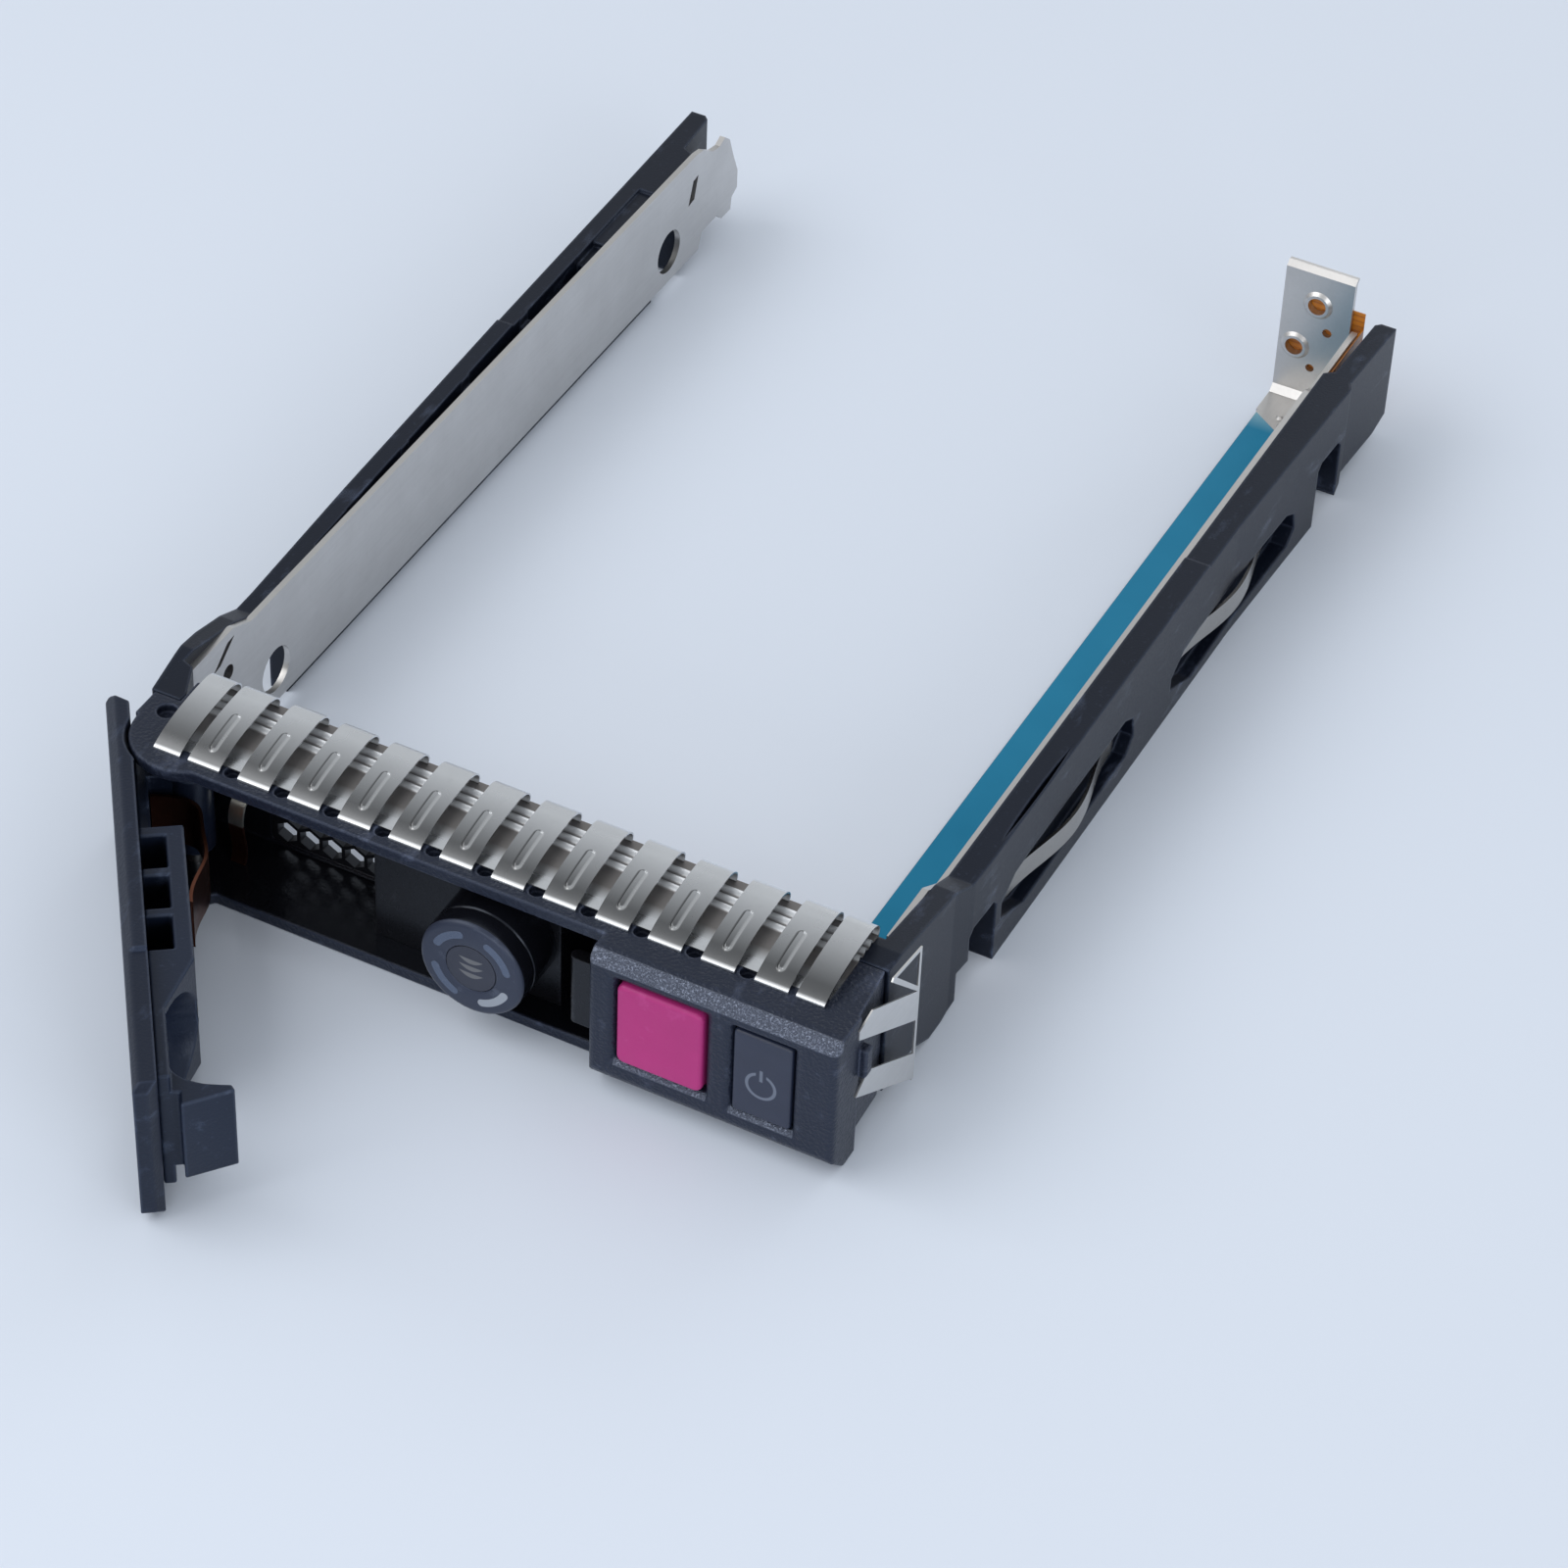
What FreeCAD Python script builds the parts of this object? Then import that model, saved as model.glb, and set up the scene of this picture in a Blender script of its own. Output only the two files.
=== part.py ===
import FreeCAD, Part
import math
import os
from FreeCAD import Vector

# Hot swap drive caddy, millimetres.
# X runs across the bay with +X on the right seen from the front, Y runs from the
# bezel face back to the connector end, Z is up. X = 0 is the drive's centre plane,
# Y = 0 the front face of the button block, Z = 0 the surface the caddy lies on.

# drive and side plates
drive_w = 69.85            # 2.5 inch drive width
drive_fit = 0.075          # clearance on each side of the drive
drive_end_y = 119.8        # connector end of a fitted drive
plate_t = 0.6
plate_z = 1.2              # underside of the plates and of the bottom flange
plate_top = 13.0
left_plate_top = 13.6
plate_front_y = 15.5
plate_back_y = 120.9
screw_pitch = 76.6
screw_from_end = 14.0
screw_up = 3.0             # screw height above the drive's underside
screw_r = 2.4
film_t = 0.15
film_front_y = 17.0
film_back_y = 113.0
flange_w = 8.2
bracket_h = 16.3
bracket_w = 7.5
bracket_y = 120.5          # rear face of the upright bracket
collar_w = 0.65
collar_h = 0.32
fold_r = 1.3

# plastic rails
right_widths = [           # distance back, and how far the rail stands out past the plate
    (10.45, 2.15), (23.4, 2.15), (27.0, 2.45), (30.0, 2.55), (84.0, 2.55),
    (97.0, 3.0), (109.3, 3.45), (110.2, 3.0), (120.8, 3.5),
]
left_widths = [
    (10.45, 0.3), (15.8, 1.2), (19.6, 1.65), (29.0, 1.7),
    (47.0, 2.4), (76.6, 3.2), (104.0, 3.7), (119.0, 4.0),
]
rail_wall = 2.1            # wall left where the rail's rear end opens inwards
rail_h = 13.3
right_open_y = 110.4       # the inner face leaves the plate from here
left_open_y = 112.0
head_front_y = 10.45
head_back_y = 14.0
head_in = 32.9             # inner face of the rail's head, from the centre plane
head_flat = 2.4
left_head_flat = 6.4
left_head_cut = 2.6        # corner cut off the left head's inner rear
head_low_z = 1.9
head_slope_y = 23.7
head_slope_z = 14.5
head_foot_y = 24.6
foot_gap_z = 4.1
facet_y = 26.5
notch_half = 2.6           # screw notch, half its width
notch_cut = 0.7
heel_y = 108.0
heel_z = 1.7
pocket_front_y = 33.0
pocket_l = 28.6
pocket_pitch = 37.0
pocket_h = 5.8
pocket_z = 1.9
rear_pocket_down = 0.9     # the rear pocket sits lower
pocket_depth = 1.45
leaf_t = 0.3
leaf_h = 2.4
leaf_z = 3.5
leaf_out = 0.7             # how far a leaf spring bows past the rail
leaf_gap = 0.15
leaf_in = 3.0              # the leaf's feet stand in from the pocket's ends
slit_y = 40.2
slit_l = 14.6
slit_w = 0.45
slit_in = 2.15
slit_depth = 1.5
crease_y = 77.0
crease_step = 0.25
band_w = 1.7               # outer band beside the left rail's groove
groove_front_y = 38.0
groove_back_y = 94.0
groove_depth = 1.2
groove_pocket_l = 10.5
groove_pocket_pitch = 12.0
groove_pocket_depth = 4.6

# bezel
bezel_h = 16.2
bezel_d = 13.4
bezel_left = -35.5
block_left = 14.4
ledge_t = 1.3
top_ledge_y = 2.7
low_ledge_y = 3.8
back_wall_y = 12.3
wall_t = 1.2
front_wall_t = 1.6
top_bevel = 1.1
low_bevel = 2.4
block_over = 2.6           # the block's right side past the plate
side_step = 0.2            # the side steps in, then tapers, behind its front
side_step_y = 4.4
side_taper = 0.8
corner_r = 0.8
ear_r = 5.3
ear_hole_r = 0.95
lip = 0.5                  # bevel round the two windows

# hinge and lever
hinge_x = -29.9
hinge_y = 7.1
open_deg = 54.2
pin_r = 0.8
pin_run = 0.04             # running clearance of the pin in the knuckle
pin_hold = 0.02            # clearance of the pin in the ears
knuckle_r = 1.9
cover_t = 2.1
cover_left = -36.2
cover_right = 13.55
cover_bevel = 0.9
ear_swing = 0.35           # clearance between the ear and the cover's hollow
step_x = -2.9
step_down = 0.35
frame_gap = 0.4            # clearance of the lever frame under each ledge
box_left = -19.8
box_back_y = 6.0
box_end_x = -2.9
horn_x = 2.8
vent_first_x = -18.6
vent_l = 4.1
vent_pitch = 5.1
vent_d = 2.25
vent_depth = 5.0
frame_t = 1.1
lever_ring_gap = 0.4
ring_swing = 0.45          # extra room on the hook's side of the ring
hook_z = 3.8
hook_h = 8.8
web_x = 11.0               # end of the web in front of the hook
hook_x = 12.6              # the hook's shoulder
shoulder_y = 3.9
hook_back_y = 8.5
lever_leaf_t = 0.3

# activity ring and its housing
ring_x = 2.6
ring_z = 8.1
ring_r = 5.15
ring_face_r = 4.7
ring_face_y = 0.5
ring_bevel = 0.45
arc_in = 3.15
arc_out = 4.15
arc_deg = 58.0
arc_depth = 0.45
cap_r = 2.5
cap_depth = 0.3
housing_left = -10.6
housing_right = 8.2
housing_y = 6.5

# release button, catch and its spring
button_x = 21.4
button_w = 8.3
button_z = 9.2
button_h = 9.1
button_gap = 0.2
button_proud = 0.1
button_edge = 0.5
button_flange = 0.6
button_flange_t = 0.95
button_stroke = 1.8
catch_z = 4.6
catch_h = 7.6
catch_gap = 0.25
nose_r = 0.65
nose_x = 11.9
nose_y = 3.0
neck_right = 14.2
catch_front_y = 5.0
catch_back_y = 8.0
catch_right = 24.3
ramp_gap = 0.1             # square to the 45 degree ramps
wedge_left = 19.4
wedge_w = 3.55
wedge_z = 7.4
wedge_h = 2.8
spring_r = 1.3
spring_wire = 0.35
spring_turns = 5
spring_steps = 10          # straight runs in each turn of the coil
spring_end_x = 30.4

# status window and board
status_x = 31.2
status_w = 5.6
status_z = 9.0
status_h = 9.5
status_gap = 0.1
status_flange = 0.7
board_t = 0.8
board_y = 11.2

# finger strips
foil_t = 0.15
finger_w = 3.2
finger_pitch = 5.11
finger_count = 12
finger_first_x = -27.85    # left edge of the first full finger
finger_tip_y = 3.7
finger_bend_y = 13.2
finger_rise = 1.75
end_finger_w = 2.7
left_end_finger_x = -31.4
right_end_finger_x = 32.3
strip_front_y = 5.6
strip_back_y = 14.0
bead_l = 5.2
bead_w = 0.8
bead_t = 0.12
ridge_front_y = 10.4       # three polished ridges under the fingers' bends
ridge_pitch = 1.05
ridge_r = 0.42
notch_pocket_r = 0.75
side_foil_out = 0.8

# vent mesh
mesh_left = -25.0
mesh_right = -11.4
mesh_t = 0.5
mesh_hole = 2.0
mesh_pitch = 2.35

# flex circuit
flex_t = 0.15
flex_play = 0.25
flex_z = 4.2
flex_h = 7.6

plate_in = drive_w / 2 + drive_fit
plate_out = plate_in + plate_t
half_w = plate_out + block_over
seat_z = plate_z + plate_t + film_t
screw_z = seat_z + screw_up
screw_ys = [drive_end_y - screw_from_end - screw_pitch, drive_end_y - screw_from_end]
frame_z = ledge_t + frame_gap
frame_h = bezel_h - 2 * ledge_t - 2 * frame_gap


def box(x0, x1, y0, y1, z0, z1):
    return Part.makeBox(x1 - x0, y1 - y0, z1 - z0, Vector(x0, y0, z0))


def place(u, v, axis, w):
    """A point from its two plane coordinates and its height along the axis."""
    if axis == "x":
        return Vector(w, u, v)
    if axis == "y":
        return Vector(u, w, v)
    return Vector(u, v, w)


def slab(points, axis, w0, w1):
    """A polygon in the plane square to an axis, extruded from w0 to w1."""
    corners = [place(u, v, axis, w0) for u, v in points]
    face = Part.Face(Part.makePolygon(corners + corners[:1]))
    return face.extrude(place(0, 0, axis, w1 - w0))


def ribbon(points, thick, axis, w0, w1):
    """A smooth strip of even thickness along a plane curve, extruded from w0 to w1."""
    left = []
    right = []
    for i, (u, v) in enumerate(points):
        before = points[max(i - 1, 0)]
        after = points[min(i + 1, len(points) - 1)]
        du = after[0] - before[0]
        dv = after[1] - before[1]
        size = math.hypot(du, dv)
        left.append(place(u - dv / size * thick / 2, v + du / size * thick / 2, axis, w0))
        right.append(place(u + dv / size * thick / 2, v - du / size * thick / 2, axis, w0))
    one = Part.BSplineCurve()
    one.interpolate(left)
    two = Part.BSplineCurve()
    two.interpolate(right[::-1])
    edges = [
        one.toShape(),
        Part.makeLine(left[-1], right[-1]),
        two.toShape(),
        Part.makeLine(right[0], left[0]),
    ]
    return Part.Face(Part.Wire(edges)).extrude(place(0, 0, axis, w1 - w0))


def bent(points, thick, axis, w0, w1):
    """A strip of even thickness along straight runs, with its corners mitred."""
    near = []
    far = []
    for i, (u, v) in enumerate(points):
        before = points[max(i - 1, 0)]
        after = points[min(i + 1, len(points) - 1)]
        turns = []
        for a, b in ((before, (u, v)), ((u, v), after)):
            size = math.hypot(b[0] - a[0], b[1] - a[1])
            if size > 0:
                turns.append(((a[1] - b[1]) / size, (b[0] - a[0]) / size))
        nu = sum(t[0] for t in turns) / len(turns)
        nv = sum(t[1] for t in turns) / len(turns)
        reach = thick / 2 / (nu * nu + nv * nv)
        near.append((u + nu * reach, v + nv * reach))
        far.append((u - nu * reach, v - nv * reach))
    return slab(near + far[::-1], axis, w0, w1)


def rod(u, v, r, axis, w0, w1):
    return Part.makeCylinder(r, w1 - w0, place(u, v, axis, w0), place(0, 0, axis, 1))


def tapered(x, z, w, h, grow, y0, y1):
    """A rectangular funnel that is grow larger all round at y0 than at y1."""
    wires = []
    for y, g in ((y0, grow), (y1, 0.0)):
        a = w / 2 + g
        b = h / 2 + g
        corners = [
            Vector(x - a, y, z - b),
            Vector(x + a, y, z - b),
            Vector(x + a, y, z + b),
            Vector(x - a, y, z + b),
        ]
        wires.append(Part.makePolygon(corners + corners[:1]))
    return Part.makeLoft(wires, True, True)


def joined(first, *rest):
    return first.fuse(list(rest)).removeSplitter()


def cut(solid, *tools):
    return solid.cut(list(tools)).removeSplitter()


def mirrored(shape):
    return shape.mirror(Vector(0, 0, 0), Vector(1, 0, 0))


def opened(shape):
    """A lever piece, drawn closed, turned to its open rest place."""
    turned = shape.copy()
    turned.rotate(Vector(hinge_x, hinge_y, 0), Vector(0, 0, 1), -open_deg)
    return turned


def finger_spans():
    """Left and right edge of every finger along the bezel."""
    spans = [(left_end_finger_x, left_end_finger_x + end_finger_w)]
    for i in range(finger_count):
        left = finger_first_x + i * finger_pitch
        spans.append((left, left + finger_w))
    spans.append((right_end_finger_x, right_end_finger_x + end_finger_w))
    return spans


# bezel housing
def ear_plate(z0, z1, front):
    """A ledge whose left end is rounded about the hinge."""
    left = box(bezel_left, hinge_x, hinge_y, head_front_y, z0, z1)
    round_end = rod(hinge_x, hinge_y, ear_r, "z", z0, z1)
    run = box(hinge_x, block_left + wall_t, front, bezel_d, z0, z1)
    return joined(run, round_end, left)


def block_shell():
    profile = [
        (0, low_bevel),
        (0, bezel_h - top_bevel),
        (top_bevel, bezel_h),
        (bezel_d, bezel_h),
        (bezel_d, 0),
        (low_bevel, 0),
    ]
    body = slab(profile, "x", block_left, half_w)
    plan = box(block_left, half_w, -1, bezel_d, -1, bezel_h + 1)
    fronts = [e for e in plan.Edges if e.Length > bezel_h and e.CenterOfMass.y < 0]
    plan = plan.makeFillet(corner_r + 1, fronts)
    body = body.common(plan)
    inner = box(block_left + wall_t, half_w - side_taper - wall_t, front_wall_t, head_front_y - wall_t,
                ledge_t, bezel_h - ledge_t)
    rear_hollow = box(block_left + wall_t, head_in - 2 * wall_t, front_wall_t, bezel_d + 1,
                      ledge_t, bezel_h - ledge_t)
    corner = box(head_in - 0.02, half_w + 1, head_front_y - 0.02, bezel_d + 1, -1, bezel_h + 1)
    taper = [
        (half_w - side_step, side_step_y),
        (half_w - side_taper, head_front_y),
        (half_w + 1, head_front_y),
        (half_w + 1, side_step_y),
    ]
    under = [
        (half_w - side_taper - 0.9, -0.01),
        (half_w - side_step, low_bevel),
        (half_w + 1, low_bevel),
        (half_w + 1, -0.01),
    ]
    tools = [slab(taper, "z", -1, bezel_h + 1), slab(under, "y", side_step_y, head_front_y)]
    return cut(body, inner, rear_hollow, corner, *tools)


def window(x, z, w, h, gap):
    """A window through the block's front wall with a bevelled lip."""
    hole = box(x - w / 2 - gap, x + w / 2 + gap, -1, front_wall_t + 1, z - h / 2 - gap, z + h / 2 + gap)
    funnel = tapered(x, z, w + 2 * gap, h + 2 * gap, lip, 0, lip)
    return hole.fuse(funnel)


def catch_slot():
    return box(block_left - 1, block_left + wall_t + 1, nose_y - nose_r - catch_gap,
               catch_back_y + catch_gap, catch_z - catch_gap, catch_z + catch_h + catch_gap)


def spring_post():
    """The rib inside the block that the catch spring pushes on."""
    return box(spring_end_x, spring_end_x + 1.0, catch_front_y - 0.5, catch_back_y + 0.8,
               ledge_t, bezel_h - ledge_t)


def bezel_housing():
    top = ear_plate(bezel_h - ledge_t, bezel_h, top_ledge_y)
    low = ear_plate(0, ledge_t, low_ledge_y)
    side = box(bezel_left, bezel_left + wall_t, hinge_y + 0.3, head_front_y, 0, bezel_h)
    back = box(head_wall_x(), block_left + wall_t, back_wall_y, bezel_d, 0, bezel_h)
    jog = box(bezel_left, head_wall_x() + wall_t, head_front_y - wall_t, head_front_y, 0, bezel_h)
    jog_wall = box(head_wall_x(), head_wall_x() + wall_t, head_front_y - wall_t, bezel_d, 0, bezel_h)
    body = joined(block_shell(), top, low, side, back, jog, jog_wall, spring_post(), side_lug())
    tools = [
        box(bezel_left - 1, head_wall_x(), head_front_y, bezel_d + 1, -1, bezel_h + 1),
        window(button_x, button_z, button_w, button_h, button_gap),
        window(status_x, status_z, status_w, status_h, status_gap),
        catch_slot(),
        rod(hinge_x, hinge_y, pin_r + pin_hold, "z", 0.4, bezel_h - 0.3),
        rod(bezel_left + 2.4, hinge_y + 1.5, ear_hole_r, "z", bezel_h - 0.9, bezel_h + 1),
        box(mesh_left, housing_left - 0.02, back_wall_y - 1, bezel_d + 1, ledge_t + 0.4, bezel_h - ledge_t - 0.4),
    ]
    spans = finger_spans()
    for here, after in zip(spans[1:-2], spans[2:-1]):
        middle = (here[1] + after[0]) / 2
        tools.append(rod(middle, strip_front_y - 1.1, notch_pocket_r, "z", bezel_h - 0.8, bezel_h + 1))
    return cut(body, *tools)


def head_wall_x():
    return -head_in + 0.02


def side_lug():
    return box(half_w - side_taper, half_w + 0.75, side_step_y - 0.1, side_step_y + 1.1, 9.3, 12.4)


# honeycomb vent
def vent_mesh():
    z0 = ledge_t + 0.4
    z1 = bezel_h - ledge_t - 0.4
    y0 = (back_wall_y + bezel_d) / 2 - mesh_t / 2
    sheet = box(mesh_left, mesh_right, y0, y0 + mesh_t, z0, z1)
    r = mesh_hole / math.sqrt(3)
    holes = []
    rows = int((z1 - z0 - mesh_hole) / (mesh_pitch * 0.866)) + 1
    top = z0 + (z1 - z0 - (rows - 1) * mesh_pitch * 0.866) / 2
    for row in range(rows):
        z = top + row * mesh_pitch * 0.866
        x = mesh_left + mesh_pitch / 2 + 0.4 + (row % 2) * mesh_pitch / 2
        while x + mesh_hole / 2 < mesh_right - 0.3:
            hexagon = [
                (x + r * math.sin(math.radians(60 * k)), z + r * math.cos(math.radians(60 * k)))
                for k in range(6)
            ]
            holes.append(slab(hexagon, "y", y0 - 0.5, y0 + mesh_t + 0.5))
            x += mesh_pitch
    return cut(sheet, *holes)


# activity ring
def ring_housing():
    return box(housing_left, housing_right, housing_y, back_wall_y, ledge_t, bezel_h - ledge_t)


def ring_body():
    profile = [
        (0, ring_face_y),
        (ring_face_r, ring_face_y),
        (ring_r, ring_face_y + ring_bevel),
        (ring_r, ring_face_y + 2.1),
        (ring_r - 0.12, ring_face_y + 2.22),
        (ring_r, ring_face_y + 2.34),
        (ring_r, housing_y),
        (0, housing_y),
    ]
    corners = [Vector(ring_x + r, y, ring_z) for r, y in profile]
    face = Part.Face(Part.makePolygon(corners + corners[:1]))
    body = face.revolve(Vector(ring_x, 0, ring_z), Vector(0, 1, 0), 360)
    cap = rod(ring_x, ring_z, cap_r, "y", ring_face_y - 0.5, ring_face_y + cap_depth)
    return cut(body, cap, *ring_arcs(0.0))


def ring_arcs(shy):
    """Four curved light windows round the ring's face."""
    full = rod(ring_x, ring_z, arc_out, "y", ring_face_y + shy, ring_face_y + arc_depth)
    hole = rod(ring_x, ring_z, arc_in, "y", ring_face_y - 1, ring_face_y + 1)
    band = full.cut(hole)
    arcs = []
    for k in range(4):
        middle = math.radians(90 * k + 40)
        half = math.radians(arc_deg / 2)
        reach = arc_out * 2
        wedge = [
            (ring_x, ring_z),
            (ring_x + reach * math.cos(middle - half), ring_z + reach * math.sin(middle - half)),
            (ring_x + reach * math.cos(middle), ring_z + reach * math.sin(middle)),
            (ring_x + reach * math.cos(middle + half), ring_z + reach * math.sin(middle + half)),
        ]
        arcs.append(band.common(slab(wedge, "y", ring_face_y - 1, ring_face_y + 1)))
    return arcs


def ring_windows():
    return Part.makeCompound(ring_arcs(0.06))


def ring_cap():
    return rod(ring_x, ring_z, cap_r - 0.05, "y", ring_face_y + 0.08, ring_face_y + cap_depth)


# hinge
def hinge_pin():
    return rod(hinge_x, hinge_y, pin_r, "z", 0.5, bezel_h - 0.4)


def cavity_spring():
    """The bent contact strip that stands on the cavity floor beside the hinge."""
    path = [(8.3, ledge_t + 0.02), (8.5, 4.0), (8.2, 6.4), (8.9, 8.2), (10.2, 8.7), (11.4, 8.0), (12.0, 6.6)]
    return ribbon(path, 0.25, "x", -26.9, -25.4)


# lever
def lever_cover():
    profile = [
        (0, cover_bevel),
        (0, bezel_h - cover_bevel),
        (cover_bevel, bezel_h),
        (cover_t, bezel_h),
        (cover_t, 0),
        (cover_bevel, 0),
    ]
    plan = [
        (cover_left, 0.35),
        (cover_left + 0.35, 0),
        (cover_right, 0),
        (cover_right, cover_t - 0.85),
        (cover_right - 0.85, cover_t),
        (cover_left + 1.35, cover_t),
    ]
    front = [
        (cover_left, 0),
        (cover_right - 1.1, 0),
        (cover_right, 1.1),
        (cover_right, bezel_h - 1.1),
        (cover_right - 1.1, bezel_h),
        (cover_left, bezel_h),
    ]
    body = slab(profile, "x", cover_left, cover_right)
    body = body.common(slab(plan, "z", 0, bezel_h)).common(slab(front, "y", 0, cover_t))
    far = cover_right + 1
    tools = [
        rod(hinge_x, hinge_y, ear_r + ear_swing, "z", -1, bezel_h + 1),
        rod(ring_x, ring_z, ring_r + lever_ring_gap, "y", -1, cover_t + 1),
        box(step_x, far, -1, cover_t + 1, bezel_h - step_down, bezel_h + 1),
        box(step_x, far, -1, cover_t + 1, -1, step_down),
    ]
    return opened(cut(body, *tools))


def frame_vents():
    """Square pockets in the frame's top and underside."""
    pockets = []
    for i in range(3):
        x = vent_first_x + i * vent_pitch
        for z0, z1 in ((frame_z - 1, frame_z + vent_depth), (frame_z + frame_h - vent_depth, frame_z + frame_h + 1)):
            pockets.append(box(x, x + vent_l, cover_t, cover_t + vent_d, z0, z1))
    return pockets


def hook():
    """The web and the snap hook at the lever's end."""
    low = Vector(web_x - 3.8, cover_t, hook_z)
    foot = Vector(web_x - 3.8, cover_t + frame_t, hook_z)
    bend = Vector(web_x - 1.3, shoulder_y + 0.9, hook_z)
    back = Vector(web_x - 0.4, hook_back_y - 0.3, hook_z)
    tip = Vector(hook_x - 1.25, hook_back_y, hook_z)
    curve = Part.BSplineCurve()
    curve.interpolate([foot, foot + Vector(1.4, 0.3, 0), bend, back])
    edges = [
        Part.makeLine(low, foot),
        curve.toShape(),
        Part.makeLine(back, tip),
        Part.makeLine(tip, Vector(hook_x, shoulder_y, hook_z)),
        Part.makeLine(Vector(hook_x, shoulder_y, hook_z), Vector(web_x, shoulder_y, hook_z)),
        Part.makeLine(Vector(web_x, shoulder_y, hook_z), Vector(web_x, cover_t, hook_z)),
        Part.makeLine(Vector(web_x, cover_t, hook_z), low),
    ]
    return Part.Face(Part.Wire(edges)).extrude(Vector(0, 0, hook_h))


def lever_frame():
    top = frame_z + frame_h
    ramp = [
        (box_left, cover_t),
        (box_left, box_back_y),
        (box_end_x, box_back_y),
        (horn_x, cover_t + frame_t),
        (web_x, cover_t + frame_t),
        (web_x, cover_t),
    ]
    body = slab(ramp, "z", frame_z, top)
    arm_z = frame_z + 1.4
    arm_top = top - 2.6
    plate = box(hinge_x - 2.1, box_left, cover_t, cover_t + frame_t, arm_z, arm_top)
    arm = box(hinge_x - 2.1, hinge_x + 0.7, cover_t, hinge_y, arm_z, arm_top)
    knuckle = rod(hinge_x, hinge_y, knuckle_r, "z", arm_z, arm_top)
    body = joined(body, plate, arm, knuckle, hook())
    ring_room = ring_r + lever_ring_gap
    tools = [
        rod(hinge_x, hinge_y, pin_r + pin_run, "z", -1, bezel_h + 1),
        rod(ring_x, ring_z, ring_room, "y", 0, box_back_y + 1),
        rod(ring_x + ring_swing, ring_z, ring_room, "y", 0, box_back_y + 1),
    ]
    return opened(cut(body, *tools, *frame_vents()))


def lever_spring():
    """The flat spring behind the lever frame that throws the lever open."""
    base_y = cover_t + frame_t + lever_leaf_t / 2
    path = [
        (hinge_x + 1.9, base_y),
        (hinge_x + 2.3, base_y + 2.0),
        (hinge_x + 3.4, box_back_y + 1.2),
        (hinge_x + 6.7, box_back_y + 1.7),
        (hinge_x + 10.5, box_back_y + 1.75),
        (hinge_x + 12.6, box_back_y + 0.95),
        (hinge_x + 16.1, box_back_y + lever_leaf_t / 2 + 0.02),
    ]
    return opened(ribbon(path, lever_leaf_t, "z", 5.4, 10.8))


# release button, catch and spring
def release_button():
    cap = box(button_x - button_w / 2, button_x + button_w / 2, -button_proud, front_wall_t + 0.05,
              button_z - button_h / 2, button_z + button_h / 2)
    rims = [e for e in cap.Edges if e.CenterOfMass.y < -button_proud / 2]
    cap = cap.makeFillet(button_edge, rims)
    y0 = front_wall_t + 0.05
    y1 = y0 + button_flange_t
    flange = box(button_x - button_w / 2 - button_flange, button_x + button_w / 2 + button_flange, y0, y1,
                 button_z - button_h / 2 - button_flange, button_z + button_h / 2 + button_flange)
    wedge = [
        (wedge_left, y1),
        (wedge_left + wedge_w, y1),
        (wedge_left + wedge_w - wedge_reach(), y1 + wedge_reach()),
        (wedge_left, y1 + wedge_reach()),
    ]
    return joined(cap, flange, slab(wedge, "z", wedge_z, wedge_z + wedge_h))


def wedge_reach():
    return wedge_w - 0.35


def ramp_line():
    """X plus Y along the catch's ramp."""
    y1 = front_wall_t + 0.05 + button_flange_t
    return wedge_left + wedge_w + y1 + ramp_gap * math.sqrt(2)


def latch_catch():
    top = catch_z + catch_h
    nose = rod(nose_x, nose_y, nose_r, "z", catch_z, top)
    bridge = box(nose_x, neck_right, nose_y - nose_r, nose_y + nose_r, catch_z, top)
    neck_left = hook_x + 0.4
    neck = box(neck_left, neck_right, nose_y - nose_r, catch_back_y, catch_z, top)
    plate = box(neck_right - 0.5, catch_right, catch_front_y, catch_back_y, catch_z, top)
    ramp_y = catch_front_y - 0.4
    post = [
        (ramp_line() - ramp_y, ramp_y),
        (catch_right, ramp_y),
        (catch_right, catch_back_y),
        (ramp_line() - catch_front_y - 1.2, catch_back_y),
        (ramp_line() - catch_front_y - 1.2, catch_front_y + 1.2),
    ]
    hole = box(wedge_left - button_stroke - 0.5, ramp_line() - ramp_y + 0.01, catch_front_y - 1, catch_back_y + 1,
               wedge_z - 0.3, wedge_z + wedge_h + 0.3)
    plate = plate.cut(hole)
    wall = slab(post, "z", wedge_z - 0.3, wedge_z + wedge_h + 0.3)
    seat = rod((catch_front_y + catch_back_y) / 2, spring_z(), spring_r - spring_wire - 0.15, "x",
               catch_right - 0.2, catch_right + 1.2)
    return joined(plate, nose, bridge, neck, wall, seat)


def spring_z():
    return catch_z + catch_h / 2


def latch_spring():
    """The coil that pushes the catch, and through it the button, back out."""
    start = catch_right + spring_wire / 2 + 0.02
    length = spring_end_x - spring_wire / 2 - 0.02 - start
    mean = spring_r - spring_wire / 2
    steps = spring_turns * spring_steps
    rings = []
    for i in range(steps + 1):
        angle = 2 * math.pi * i / spring_steps
        along = Vector(0, -math.sin(angle), math.cos(angle))
        out = Vector(0, math.cos(angle), math.sin(angle))
        lean = length / spring_turns / (2 * math.pi * mean)
        across = (Vector(1, 0, 0) - along * lean).normalize()
        centre = Vector(start + length * i / steps, (catch_front_y + catch_back_y) / 2, spring_z()) + out * mean
        r = spring_wire / 2
        corners = [
            centre + out * (r * math.cos(k * math.pi / 3)) + across * (r * math.sin(k * math.pi / 3))
            for k in range(6)
        ]
        rings.append(Part.makePolygon(corners + corners[:1]))
    return Part.makeLoft(rings, True, True)


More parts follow.
